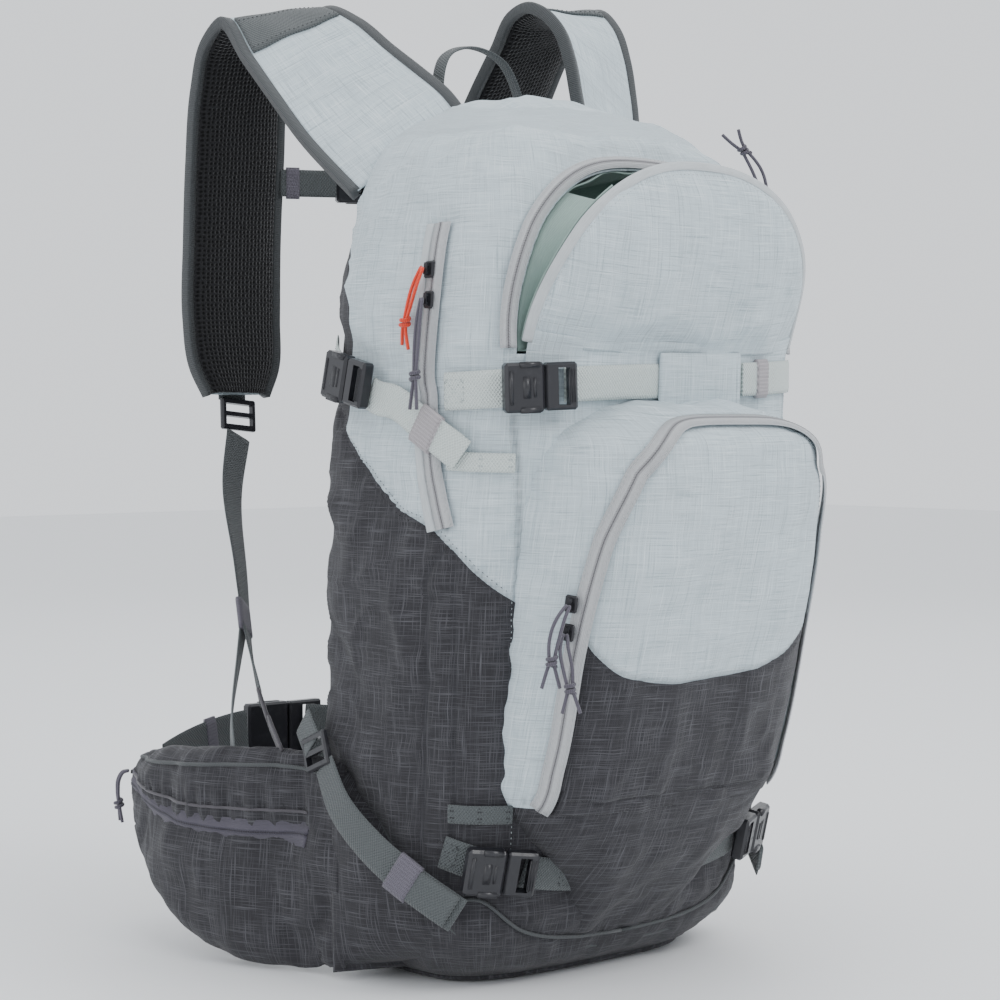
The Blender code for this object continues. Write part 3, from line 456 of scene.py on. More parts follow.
SHELL_CLOTH = fabric_material("shell_cloth", [LIGHT_CLOTH, DARK_CLOTH])
LIGHT_FABRIC = fabric_material("light_cloth", [LIGHT_CLOTH])
DARK_FABRIC = fabric_material("dark_cloth", [DARK_CLOTH])
LINING = plain_cloth_material("lining_cloth", (0.235, 0.325, 0.295), 0.45, sheen=0.3)
SMOOTH_DARK = plain_cloth_material("smooth_dark_cloth", (0.062, 0.057, 0.066), 0.55, sheen=0.2, seams=True)
BINDING = webbing_material("binding_tape", (0.062, 0.067, 0.070), rib=0.0012, rows=0.0060, depth=0.0002)
LIGHT_WEB = webbing_material("light_webbing", (0.60, 0.665, 0.645))
DARK_WEB = webbing_material("dark_webbing", (0.085, 0.095, 0.098))
LIGHT_ELASTIC = webbing_material("light_elastic", (0.43, 0.40, 0.42), rib=0.0011, rows=0.0045)
DARK_ELASTIC = webbing_material("dark_elastic", (0.135, 0.125, 0.155), rib=0.0011, rows=0.0045)
LIGHT_ZIP = zip_material("light_zip_tape", (0.50, 0.51, 0.525), (0.33, 0.33, 0.345))
DARK_ZIP = zip_material("dark_zip_tape", (0.095, 0.088, 0.112), (0.060, 0.055, 0.075))
SPACER_MESH = mesh_material("spacer_mesh", (0.020, 0.020, 0.022))
BUCKLE = hard_material("buckle_plastic_moulded", (0.016, 0.016, 0.020), 0.28)
METAL = hard_material("slider_paint", (0.018, 0.018, 0.022), 0.34, metallic=0.3)
SHEET_PLASTIC = hard_material("frame_sheet_plastic", (0.02, 0.02, 0.022), 0.5)
RED_CORD = cord_material("red_cord", (0.90, 0.060, 0.020))
GREY_CORD = cord_material("grey_cord", (0.100, 0.090, 0.120))
LIGHT_HEM = plain_cloth_material("hem_tape", (0.47, 0.50, 0.515), 0.75)
LIGHT_TAB = fabric_material("tab_cloth", [LIGHT_CLOTH])
LIGHT_TAIL = webbing_material("grosgrain_tail", (0.165, 0.180, 0.185), rib=0.0010, rows=0.0030, depth=0.0002)
LIGHT_THREAD = plain_cloth_material("light_thread", (0.42, 0.47, 0.48), 0.7)
DARK_THREAD = plain_cloth_material("dark_thread", (0.030, 0.030, 0.034), 0.7)


# ---------------------------------------------------------------- mesh builders
def mesh_object(name, verts, faces, material, cloth=None, values=None):
    """Smooth mesh with its cloth places, standing in the row frame."""
    verts = np.asarray(verts, float).reshape(-1, 3)
    mesh = bpy.data.meshes.new(name)
    mesh.from_pydata((verts + SHIFT).tolist(), [], [tuple(map(int, f)) for f in faces])
    mesh.shade_smooth()
    mesh.materials.append(material)
    obj = bpy.data.objects.new(name, mesh)
    bpy.context.scene.collection.objects.link(obj)
    cloth = verts[:, [0, 2, 1]] if cloth is None else np.asarray(cloth, float).reshape(len(verts), -1)
    if cloth.shape[1] == 2:
        cloth = np.concatenate([cloth, np.zeros((len(verts), 1))], 1)
    held = mesh.attributes.new("cloth", "FLOAT_VECTOR", "POINT")
    held.data.foreach_set("vector", cloth.astype(np.float32).ravel())
    for key, value in (values or {}).items():
        made = mesh.attributes.new(key, "FLOAT", "POINT")
        made.data.foreach_set("value", np.asarray(value, np.float32).ravel())
    return obj


def grid_faces(rows, columns, wrap=False):
    """Quads of a grid of points, as an array (rows - 1, spans, 4)."""
    index = np.arange(rows * columns).reshape(rows, columns)
    right = np.roll(index, -1, axis=1)
    quads = np.stack([index[:-1], right[:-1], right[1:], index[1:]], -1)
    return quads if wrap else quads[:, :-1]


def grid_normals(places, wrap=False):
    """Normals of a grid of points, the same side as grid_faces gives."""
    if wrap:
        across = np.roll(places, -1, axis=1) - np.roll(places, 1, axis=1)
    else:
        across = np.gradient(places, axis=1)
    return unit(np.cross(across, np.gradient(places, axis=0)))


def grid_object(name, places, material, cloth, values=None, wrap=False, keep=None):
    """Mesh of a grid of points; keep says which quads stay."""
    rows, columns = places.shape[:2]
    quads = grid_faces(rows, columns, wrap)
    quads = quads.reshape(-1, 4) if keep is None else quads[keep]
    obj = mesh_object(name, places, quads, material, cloth, values)
    drop_loose(obj)
    return obj


def drop_loose(obj):
    """Remove points that no face uses."""
    work = bmesh.new()
    work.from_mesh(obj.data)
    loose = [v for v in work.verts if not v.link_faces]
    bmesh.ops.delete(work, geom=loose, context="VERTS")
    work.to_mesh(obj.data)
    work.free()


def thicken(obj, thickness, offset=-1.0, inner=None):
    """Give an open sheet its thickness; the inner face can have its own material."""
    if inner is not None:
        obj.data.materials.append(inner)
    modifier = obj.modifiers.new("thickness", "SOLIDIFY")
    modifier.thickness = thickness
    modifier.offset = offset
    if inner is not None:
        modifier.material_offset = 1
    apply_modifiers(obj)
    return obj


def apply_modifiers(obj):
    """Replace the mesh with its result."""
    bpy.context.view_layer.update()
    graph = bpy.context.evaluated_depsgraph_get()
    mesh = bpy.data.meshes.new_from_object(obj.evaluated_get(graph))
    obj.modifiers.clear()
    obj.data = mesh


def sweep(name, path, normals, profile, material, caps=True):
    """Solid of a closed profile (across, up) carried along a path."""
    path, normals = np.asarray(path, float), unit(normals)
    profile = np.asarray(profile, float)
    ahead = unit(np.gradient(path, axis=0))
    normals = unit(normals - ahead * (normals * ahead).sum(-1, keepdims=True))
    side = np.cross(ahead, normals)
    places = (path[:, None] + side[:, None] * profile[None, :, :1] + normals[:, None] * profile[None, :, 1:])
    along = length_along(path)
    cloth = np.stack(np.broadcast_arrays(along[:, None], profile[None, :, 0]), -1)
    rows, columns = places.shape[:2]
    faces = grid_faces(rows, columns, True).reshape(-1, 4).tolist()
    if caps:
        faces.append(list(range(columns))[::-1])
        faces.append(list(range((rows - 1) * columns, rows * columns)))
    obj = mesh_object(name, places, faces, material, cloth)
    work = bmesh.new()
    work.from_mesh(obj.data)
    bmesh.ops.recalc_face_normals(work, faces=work.faces)
    work.to_mesh(obj.data)
    work.free()
    return obj


def flat_profile(width, thickness, columns=8):
    """Closed outline of a strap with soft edges."""
    xs = np.linspace(-width / 2, width / 2, columns + 1)
    top = [(x, thickness if 0 < k < columns else 0.7 * thickness) for k, x in enumerate(xs)]
    low = [(x, 0.0 if 0 < k < columns else 0.3 * thickness) for k, x in enumerate(xs)]
    return top + low[::-1]


def round_profile(radius, count=10):
    """Closed outline of a piping or cord."""
    return [(radius * math.cos(2 * math.pi * k / count), radius * math.sin(2 * math.pi * k / count))
            for k in range(count)]


THREADS = {}


def stitch(body, material, path, normals, pitch=0.0034, dash=0.0023, radius=0.00028, lift=0.0001):
    """Add a row of sewn stitches to the threads of a body."""
    path = np.asarray(path, float)
    along = length_along(path)
    count = max(int(along[-1] / pitch), 1)
    middles = (np.arange(count) + 0.5) * along[-1] / count
    normals = unit(np.asarray(normals, float))
    for at in middles:
        ends = [np.array([np.interp(at + s * dash / 2, along, path[:, k]) for k in range(3)]) for s in (-1,
                                                                                                        1)]
        out = unit([np.interp(at, along, normals[:, k]) for k in range(3)])
        THREADS.setdefault((body, material.name), []).append((ends[0], ends[1], out, radius, lift))


def make_threads():
    """One mesh for all the stitches of a body in one colour."""
    for (body, material_name), rows in THREADS.items():
        verts, faces = [], []
        for start, end, out, radius, lift in rows:
            side = np.cross(unit(end - start), out) * radius
            up = out * radius
            middle = (start + end) / 2 + out * lift
            first = len(verts)
            verts += [start - up, end - up, middle + side, middle + 1.4 * up, middle - side,
                      middle - 1.4 * up]
            for a, b in ((2, 3), (3, 4), (4, 5), (5, 2)):
                faces += [(first, first + a, first + b), (first + 1, first + b, first + a)]
        colour = "light" if material_name == LIGHT_THREAD.name else "dark"
        made = mesh_object("stitching_%s_%s" % (colour, body), verts, faces,
                           bpy.data.materials[material_name])
        put(made, body, "light_fabric" if colour == "light" else "dark_fabric")


def put(obj, body, slot_name, *replaced):
    """Hang a piece on its body and hide the CAD nodes it stands for; slot_name is not used."""
    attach(obj, body)
    if replaced:
        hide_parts(*replaced)
    return obj


def cut_outline(places, quads, inside, line, depth):
    """Quads outside an outline, with the points along the cut moved onto it."""
    flat = places.reshape(-1, 3)
    centre = flat[quads].mean(-2)
    out = ~inside(centre)
    cut_points = np.unique(quads[~out])
    kept_points = np.unique(quads[out])
    edge = np.intersect1d(cut_points, kept_points)
    line = np.asarray(line, float)
    for k in edge:
        near = line[np.argmin(((line - flat[k][[0, 2]]) ** 2).sum(-1))]
        flat[k] = (near[0], depth(near[0], near[1]), near[1])
    return out


# ---------------------------------------------------------------- camera, light and floor
def make_stage():
    """Camera at the photograph's angle, a pale floor and soft studio light."""
    scene = bpy.context.scene
    azimuth, elevation, distance = math.radians(-42.0), math.radians(2.0), 1.55
    target = Vector((-0.0245, 0.0220, 0.2840)) + Vector(SHIFT)
    back = Vector((math.sin(azimuth) * math.cos(elevation), -math.cos(azimuth) * math.cos(elevation),
                   math.sin(elevation)))
    camera = bpy.data.cameras.new("camera")
    camera.lens, camera.sensor_width = 90.0, 36.0
    camera.clip_start = 0.01
    view = bpy.data.objects.new("camera", camera)
    view.location = target + back * distance
    view.rotation_euler = back.to_track_quat("Z", "Y").to_euler()
    scene.collection.objects.link(view)
    scene.camera = view

    world = bpy.data.worlds.new("studio")
    world.use_nodes = True
    world.node_tree.nodes["Background"].inputs[0].default_value = rgb(0.93, 0.96, 1.0)
    world.node_tree.nodes["Background"].inputs[1].default_value = 1.25
    scene.world = world
    lights = [("key", (0.5, -1.7, 2.0), 1.2, 25.0), ("fill", (-2.3, 0.2, 1.0), 1.6, 11.0),
              ("rim", (1.6, 1.6, 1.7), 1.2, 6.0), ("top", (0.0, 0.1, 2.3), 1.2, 8.0)]
    for name, place, size, power in lights:
        light = bpy.data.lights.new(name, "AREA")
        light.size, light.energy = size, power
        lamp = bpy.data.objects.new(name, light)
        lamp.location = place
        lamp.rotation_euler = (Vector(place) - target).to_track_quat("Z", "Y").to_euler()
        scene.collection.objects.link(lamp)

    floor_material, _, shader = start_material("floor_paint", 0.6)
    shader.inputs["Base Color"].default_value = rgb(0.86, 0.87, 0.88)
    reach = 6.0
    corners = [(x, y, -0.0004) for x, y in ((-reach, -reach), (reach, -reach), (reach, reach),
                                            (-reach, reach))]
    mesh_object("floor", corners, [(0, 1, 2, 3)], floor_material)


# ---------------------------------------------------------------- the bag
SIDE_ZIP_ROUTE = [(189.6, 0.446), (188.6, 0.425), (188, 0.385), (190, 0.345), (192, 0.317),
                  (196, 0.289), (199.3, 0.2725)]
DIAGONAL = [(0.0860, 0.372), (0.0540, 0.349), (0.0360, 0.328), (0.0030, 0.299), (-0.0200, 0.282),
            (-0.0450, 0.272), (-0.0600, 0.259), (-0.0840, 0.229)]
FRONT_SEAM = [(-0.0930, 0.362), (-0.0890, 0.340), (-0.0880, 0.306), (-0.0860, 0.266), (-0.0830, 0.232),
              (-0.0780, 0.174), (-0.0710, 0.104), (-0.0640, 0.060)]
LOW_SEAM_BACK = [(-0.0560, 0.262), (-0.0450, 0.250), (-0.0410, 0.208), (-0.0360, 0.138), (-0.0250, 0.060)]
LOW_SEAM_FRONT = [(-0.0600, 0.259), (-0.0560, 0.174), (-0.0470, 0.087), (-0.0400, 0.060)]
BACK_SEAM = [(0.0770, 0.440), (0.0810, 0.330), (0.0820, 0.200), (0.0800, 0.080), (0.0740, 0.022)]
BASE_PIPING = [(90, 0.0260), (150, 0.0270), (190, 0.0400), (223, 0.0560), (242, 0.0360), (262, 0.0270),
               (270, 0.0255)]
BACK_STRIP = [(0.0310, 0.000), (0.0310, 0.400), (0.0400, 0.430), (0.0650, 0.452), (0.1000, 0.465),
              (0.20, 0.475)]
LIGHT_FOOT = 0.112


def side_line(points, count=80):
    """Places along a seam on the bag's left side, from its depths and heights."""
    route = smooth_path(points, count)
    return body_point(side_u(route[:, 0], route[:, 1]), route[:, 1]), body_normal(
        side_u(route[:, 0], route[:, 1]), route[:, 1])


def angle_line(route, count=80, lift=0.0):
    """Places and normals along a route of angles and heights on the bag."""
    route = smooth_path(route, count)
    normals = body_normal(route[:, 0], route[:, 1])
    return body_point(route[:, 0], route[:, 1]) + normals * lift, normals


def shell_darkness(places):
    """Signed distance to the edge between the light and the dark fabric, more than 0 in the dark."""
    y, z = places[..., 1], places[..., 2]
    diagonal = np.array(DIAGONAL)[::-1]
    above = z - np.interp(y, diagonal[:, 0], diagonal[:, 1])
    seam = np.array(FRONT_SEAM)[::-1]
    in_front = np.minimum(np.interp(z, seam[:, 1], seam[:, 0]) - y, z - LIGHT_FOOT)
    back = np.array(BACK_STRIP)
    return np.maximum(-np.maximum(above * 0.8, in_front), y - np.interp(z, back[:, 1], back[:, 0]))


STRAP_ROUTES = {
    "front_strap": ([(243, 0.3540), (258, 0.3555), (272, 0.3570), (290, 0.3590), (318, 0.3610)], 0.0008),
    "front_anchor": ([(196, 0.3500), (208, 0.3508), (217, 0.3516), (226, 0.3524)], 0.0012),
    "side_anchor": ([(141, 0.3760), (150, 0.3690), (158, 0.3640), (165, 0.3600)], 0.0022),
    "side_strap": ([(177.5, 0.3495), (187, 0.3340), (194, 0.3260), (203, 0.3170)], 0.0032),
    "side_gear_loop": ([(199, 0.3110), (208, 0.3104), (218, 0.3100), (227, 0.3098)], 0.0012),
    "low_gear_loop": ([(206, 0.1085), (215, 0.1080), (224, 0.1078), (234, 0.1075)], 0.0012),
    "low_anchor": ([(204, 0.0860), (210, 0.0835), (216, 0.0810), (221, 0.0790)], 0.0014),
    "low_strap": ([(240, 0.0735), (247, 0.0710), (253, 0.0690), (259, 0.0672)], 0.0014),
}


def press_lines():
    """Lines on the bag where straps hold the fabric down, with half their width."""
    found = []
    for route, _ in STRAP_ROUTES.values():
        line = angle_line(route, 30)[0]
        found.append((line, 0.012))
        found.append((mirror(line), 0.012))
    wide = angle_line([(226, 0.3524), (243, 0.3540), (258, 0.3555)], 30)[0]
    found += [(wide, 0.016), (mirror(wide), 0.016)]
    low = angle_line([(216, 0.0810), (240, 0.0735)], 14)[0]
    found += [(low, 0.016), (mirror(low), 0.016)]
    side = angle_line([(160, 0.3640), (180, 0.3480)], 14)[0]
    found += [(side, 0.016), (mirror(side), 0.016)]
    return found


def seam_lines():
    """Seams sewn into the bag on both sides."""
    lines = [side_line(points)[0] for points in
             (DIAGONAL, FRONT_SEAM, LOW_SEAM_BACK, LOW_SEAM_FRONT, BACK_SEAM)]
    lines.append(angle_line(SIDE_ZIP_ROUTE)[0])
    lines.append(angle_line(BASE_PIPING)[0])
    lines += [mirror(line) for line in lines]
    return lines


def fold(places, start, end, width):
    """Crease between two places: 1 on its line, fading out to the sides and the ends."""
    start, end = np.array(start), np.array(end)
    reach = end - start
    t = np.clip(((places - start) @ reach) / (reach @ reach), 0, 1)
    far = np.linalg.norm(places - (start + t[..., None] * reach), axis=-1)
    return np.exp(-(far / width) ** 2) * np.sin(np.pi * np.clip(t, 0.02, 0.98)) ** 0.7


# Folds of the bag's left side: start and end (depth, height), width and height.
SIDE_FOLDS = [((0.060, 0.395), (0.010, 0.430), 0.008, 0.0020),
              ((0.050, 0.330), (0.005, 0.372), 0.007, -0.0016),
              ((0.070, 0.300), (0.020, 0.270), 0.008, 0.0018),
              ((0.072, 0.230), (0.020, 0.180), 0.010, -0.0018),
              ((0.070, 0.160), (-0.010, 0.120), 0.012, 0.0022),
              ((0.060, 0.110), (-0.020, 0.080), 0.010, -0.0016),
              ((-0.010, 0.250), (-0.034, 0.180), 0.006, 0.0014),
              ((-0.070, 0.330), (-0.030, 0.300), 0.006, 0.0014),
              ((-0.085, 0.420), (-0.060, 0.380), 0.008, 0.0016),
              ((-0.060, 0.230), (-0.076, 0.150), 0.006, -0.0012)]


def make_shell():
    """Outer fabric of the bag: panels that puff between their seams, folded and pressed by the straps."""
    heights = np.concatenate([np.linspace(0.0035, 0.030, 14), np.linspace(0.0325, 0.455, 170)[:-1],
                              np.linspace(0.455, 0.522, 44)])
    angles = np.linspace(0, 360, 420, endpoint=False)
    u, z = np.meshgrid(angles, heights)
    places = body_point(u, z)
    shrink = np.linspace(0.965, 0.02, 22)[:, None]
    rim = places[-1]
    middle = rim.mean(0)
    cap = middle + (rim - middle)[None] * shrink[..., None]
    cap[..., 2] = 0.522 + 0.0075 * (1 - shrink**2.4)
    places = np.concatenate([places, cap])
    normals = grid_normals(places, True)

    seam_distance = np.full(places.shape[:2], 1.0)
    for line in seam_lines():
        seam_distance = np.minimum(seam_distance, distance_to(places, line))
    press = np.zeros(places.shape[:2])
    for line, half in press_lines():
        press = np.maximum(press, 1 - np.clip((distance_to(places, line) - half) / 0.014, 0, 1))
    for outline, surface in ((arch_line(*FLAP, 160), body_depth), (arch_line(*BACK, 160), body_back)):
        line = np.stack([outline[:, 0], surface(outline[:, 0], outline[:, 1]), outline[:, 1]], -1)
        press = np.maximum(press, 1 - np.clip((distance_to(places, line) - 0.010) / 0.016, 0, 1))
    for line in (angle_line(SIDE_ZIP_ROUTE)[0], mirror(angle_line(SIDE_ZIP_ROUTE)[0])):
        press = np.maximum(press, 1 - np.clip((distance_to(places, line) - 0.005) / 0.008, 0, 1))
    press = press * press * (3 - 2 * press)

    full = 1 - np.exp(-((seam_distance / 0.016) ** 1.5))
    swell = 0.0030 * full
    soft = ripple(places, 0.075, 3) * 0.0013 + ripple(places * [1, 1, 0.6], 0.032, 5) * 0.00085
    crease = (1 - np.abs(ripple(places * [1, 1, 1.6], 0.060, 8))).clip(0, 1) ** 3 * 0.0017
    rise = swell + (soft + crease) * full
    for start, end, width, height in SIDE_FOLDS:
        for sign in (-1, 1):
            ends = [(sign * 0.138, y, h) for y, h in (start, end)]
            rise += 2.4 * height * fold(places * [0.9, 1, 1] + [sign * 0.0138, 0, 0], *ends, width)
    near = np.exp(-((seam_distance / 0.013) ** 2)) * np.clip(seam_distance / 0.004, 0, 1)
    rise += near * 0.0011 * ripple(places, 0.017, 12)
    rise = rise * (1 - press) - 0.0007 * press
    rise -= 0.0012 * np.exp(-((seam_distance / 0.0016) ** 2))
    rise[:6] *= np.linspace(0, 1, 6)[:, None]
    around = np.concatenate([np.zeros((len(places), 1)),
                             np.cumsum(np.linalg.norm(np.diff(places, axis=1), axis=-1), 1)], 1)
    up = np.concatenate([[0], np.cumsum(np.linalg.norm(np.diff(places[:, 315], axis=0), axis=-1))])
    cloth = np.stack(np.broadcast_arrays(around[120][None, :], up[:, None]), -1)
    flat_top = np.clip((places[..., 2] - 0.500) / 0.020, 0, 1)[..., None]
    cloth = cloth * (1 - flat_top) + places[..., :2] * flat_top
    moved = places + normals * rise[..., None]

    quads = grid_faces(*moved.shape[:2], True)
    flap = (FLAP[0] + SEAM_GAP, FLAP[1] - SEAM_GAP, FLAP[2] + SEAM_GAP, FLAP[3])
    back = (BACK[0] + SEAM_GAP, BACK[1] - SEAM_GAP, BACK[2] + SEAM_GAP, BACK[3])

    def in_arch(arch, sign):
        def inside(p):
            low = (p[..., 2] > arch[1]) & (p[..., 2] < arch[2]) & (sign * p[..., 1] > 0)
            return low & (np.abs(p[..., 0]) < arch_half(p[..., 2], *arch))
        return inside

    def outline(arch):
        arc = arch_line(*arch, 300)
        foot = np.stack([np.linspace(-arch[0], arch[0], 160), np.full(160, arch[1])], -1)
        return np.concatenate([arc, foot])

    keep = cut_outline(moved, quads, in_arch(flap, -1), outline(flap), body_depth)
    keep &= cut_outline(moved, quads, in_arch(back, 1), outline(back), body_back)
    # mask of the painted shade along the seams
    seam = np.exp(-((seam_distance / 0.0022) ** 2))
    shell = grid_object("shell_fabric", moved, SHELL_CLOTH, cloth,
                        {"dark": shell_darkness(places), "seam": seam}, True, keep)
    thicken(shell, FABRIC, -1.0)
    put(shell, "bag", "light_fabric", "main_shell")

    stitch_rows = [(DIAGONAL, DARK_THREAD), (FRONT_SEAM, LIGHT_THREAD), (LOW_SEAM_BACK, DARK_THREAD),
                   (LOW_SEAM_FRONT, DARK_THREAD)]
    tree = BVHTree.FromObject(shell, bpy.context.evaluated_depsgraph_get())
    for points, thread in stitch_rows:
        for sign in (-1, 1):
            for offset in (-0.0028, 0.0028):
                line, out = side_line(points, 120)
                ahead = unit(np.gradient(line, axis=0))
                line = line + np.cross(ahead, out) * offset
                if sign > 0:
                    line, out = mirror(line), mirror(out)
                line, out = drape(tree, line, out)
                if offset > 0 or points is DIAGONAL:
                    stitch("bag", thread, line, out)
    return tree


def drape(tree, line, out, lift=0.0, reach=0.02):
    """Lay a line on a finished surface, looking for it along the given normals."""
    places, normals = [], []
    for place, normal in zip(line, out):
        start = Vector(place + normal * reach + SHIFT)
        hit, _, _, _ = tree.ray_cast(start, Vector(-normal), 2 * reach)
        places.append(np.array(hit) - SHIFT + normal * lift if hit is not None else place + normal * lift)
        normals.append(normal)
    return np.array(places), np.array(normals)


def make_base():
    """Floor of the bag: a flat padded panel with a rolled edge."""
    scales = np.array([1.0, 1.004, 0.995, 0.975, 0.93, 0.8, 0.6, 0.4, 0.2, 0.02])[:, None]
    heights = np.array([0.0042, 0.0028, 0.0012, 0.0004, 0.0, 0.0, 0.0, 0.0, 0.0, 0.0])
    rim = body_point(np.linspace(0, 360, 200, endpoint=False), 0.0035)
    middle = np.array([0.0, 0.015, 0.0])
    places = middle + (rim - middle)[None] * scales[..., None]
    places[..., 2] = heights[:, None]
    places = places[::-1]
    base = grid_object("base_fabric", places, DARK_FABRIC, places[..., :2], wrap=True)
    thicken(base, 0.0012, -1.0)
    put(base, "bag", "dark_fabric", "base_panel")
    line, out = angle_line(BASE_PIPING, 140, 0.0008)
    for name, side in (("base_piping_left", 1), ("base_piping_right", -1)):
        flip = np.array([side, 1.0, 1.0])
        put(sweep(name, line * flip, out * flip, round_profile(0.0011), BINDING), "bag", "dark_fabric")


# ---------------------------------------------------------------- goggle pocket
def tilt(places, angle=FLAP_OPEN):
    """Turn places of the closed flap about its hinge to where it hangs open."""
    turned = np.asarray(places, float) - FLAP_HINGE
    c, s = math.cos(angle), math.sin(angle)
    y = turned[..., 1] * c - turned[..., 2] * s
    z = turned[..., 1] * s + turned[..., 2] * c
    return np.stack([turned[..., 0], y, z], -1) + FLAP_HINGE


def arched_grid(arch, rows, columns, top_gap=0.0006):
    """Places (x, z) that fill an arched outline, closer together near its edge."""
    base, top = arch[1], arch[2] - top_gap
    z = base + (top - base) * np.sin(np.linspace(0, 0.5 * np.pi, rows))
    across = np.sin(np.linspace(-0.5, 0.5, columns) * np.pi)
    return arch_half(z, *arch)[:, None] * across[None], np.repeat(z[:, None], columns, 1)


def make_flap():
    """Flap of the goggle pocket, hanging open: crowned, folded above its hinge, with a taped hem."""
    x, z = arched_grid(FLAP, 90, 110)
    places = np.stack([x, body_depth(x, z), z], -1)
    normals = face_normal(body_depth, x, z)
    edge = np.clip((arch_half(z, *FLAP) - np.abs(x)) / 0.020, 0, 1) * np.clip((FLAP[2] - z) / 0.020, 0, 1)
    edge = edge * edge * (3 - 2 * edge)
    low = np.exp(-((z - FLAP[1]) / 0.016) ** 2)
    waves = ripple(np.stack([x * 1.5, x * 0, z * 0.55], -1), 0.034, 21)
    rise = 0.0045 * edge * (1 - low) + 0.0010 * edge * ripple(places, 0.050, 22)
    rise += 0.0011 * edge * (1 - np.abs(waves)).clip(0, 1) ** 2
    for start, end, width, height in (((-0.070, 0.384), (-0.010, 0.402), 0.006, 0.0022),
                                      ((0.010, 0.380), (0.066, 0.398), 0.007, 0.0020),
                                      ((-0.088, 0.400), (-0.062, 0.440), 0.007, -0.0018),
                                      ((0.040, 0.410), (0.080, 0.440), 0.008, -0.0014),
                                      ((-0.030, 0.378), (0.030, 0.377), 0.004, -0.0016)):
        rise += height * fold(np.stack([x, x * 0, z], -1), (start[0], 0, start[1]), (end[0], 0, end[1]),
                              width)
    moved = tilt(places + normals * rise[..., None])
    flap = grid_object("goggle_flap_fabric", moved, LIGHT_FABRIC, np.stack([x, z], -1))
    thicken(flap, 0.0022, -1.0, inner=LINING)
    put(flap, "goggle_flap", "light_fabric", "goggle_flap")

    line = arch_line(FLAP[0] - 0.0010, FLAP[1], FLAP[2] - 0.0010, FLAP[3], 160)
    edge_line = np.stack([line[:, 0], body_depth(line[:, 0], line[:, 1]), line[:, 1]], -1)
    out = face_normal(body_depth, line[:, 0], line[:, 1])
    hem = [(-0.0042, 0.0011), (-0.0038, 0.0014), (0.0, 0.0016), (0.0013, 0.0008), (0.0016, -0.0008),
           (0.0011, -0.0026), (-0.0036, -0.0032), (-0.0042, -0.0029), (-0.0040, -0.0012)]
    hem = [(-across, height) for across, height in hem]
    rim = sweep("goggle_flap_hem", tilt(edge_line), tilt(edge_line + out) - tilt(edge_line), hem, LIGHT_HEM)
    put(rim, "goggle_flap", "tape_light")
    inner = arch_line(FLAP[0] - 0.0062, FLAP[1] + 0.004, FLAP[2] - 0.0062, FLAP[3], 120)
    row = np.stack([inner[:, 0], body_depth(inner[:, 0], inner[:, 1]), inner[:, 1]], -1)
    up = face_normal(body_depth, inner[:, 0], inner[:, 1])
    tree = BVHTree.FromObject(flap, bpy.context.evaluated_depsgraph_get())
    row, up = drape(tree, tilt(row), tilt(row + up) - tilt(row))
    stitch("goggle_flap", LIGHT_THREAD, row, up)


BELLOWS_POINTS = 60


def make_pouch():
    """Lining of the goggle pocket with its soft folds, and the bellows between flap and bag."""
    arc = arch_line(0.1095, 0.3735, 0.4790, 2.4, 90)
    foot = np.stack([np.linspace(0.1095, -0.1095, 46)[1:-1], np.full(44, 0.3735)], -1)
    outline = np.concatenate([arc, foot])
    rows = []
    for t in np.linspace(0, 1, 26):
        squeeze = 1 - 0.10 * t - 0.16 * max(0.0, (t - 0.75) / 0.25) ** 2
        middle = np.array([0.0, 0.418 - 0.004 * t])
        ring = middle + (outline - middle) * squeeze
        front = body_depth(outline[:, 0], outline[:, 1]) + 0.0035
        depth = front * (1 - t) + np.full(len(ring), -0.036) * t
        rows.append(np.stack([ring[:, 0], depth, ring[:, 1]], -1))
    back = rows[-1]
    centre = back.mean(0)
    for s in (0.8, 0.55, 0.3, 0.05):
        rows.append(centre + (back - centre) * s + [0, 0.004 * (1 - s), 0])
    places = np.array(rows)
    inward = grid_normals(places, True)
    places = places + inward * (ripple(places, 0.040, 31) * 0.0016)[..., None]
    cloth = np.stack(np.broadcast_arrays(length_along(outline)[None], np.linspace(0, 0.08, 30)[:, None]), -1)
    pouch = grid_object("goggle_pocket_lining", places, LINING, cloth, wrap=True)
    thicken(pouch, 0.0010, 1.0)
    put(pouch, "bag", "lining", "goggle_pouch")

    for name, side in (("goggle_bellows_left", -1), ("goggle_bellows_right", 1)):
        line = arch_line(*FLAP, 200)[:BELLOWS_POINTS]
        x, z = line[:, 0], line[:, 1]
        shell_edge = np.stack([x * 0.995, body_depth(x, z) + 0.0025, z], -1)
        flap_edge = tilt(np.stack([x * 0.985, body_depth(x, z) + 0.0032, z], -1))
        along = np.linspace(0, 1, BELLOWS_POINTS)
        rows = []
        for t in np.linspace(0, 1, 16):
            sag = math.sin(math.pi * t)
            row = shell_edge * (1 - t) + flap_edge * t
            row[:, 0] += sag * (0.010 + 0.006 * along)
            row[:, 2] -= sag * 0.006 * along
            rows.append(row)
        places = np.array(rows) * [-side, 1, 1]
        cloth = np.stack(np.broadcast_arrays(length_along(line)[None], np.linspace(0, 0.05, 16)[:, None]),
                         -1)
        bellows = grid_object(name, places, LINING, cloth)
        thicken(bellows, 0.0008, 0.0)
        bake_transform(bellows)


# ---------------------------------------------------------------- front pocket
POCKET_SEAM = [(-0.104, 0.200), (-0.095, 0.213), (-0.087, 0.2030), (-0.076, 0.1930), (-0.057, 0.1865),
               (-0.010, 0.1840),
               (0.040, 0.1890), (0.070, 0.2000), (0.088, 0.2130), (0.104, 0.2230)]


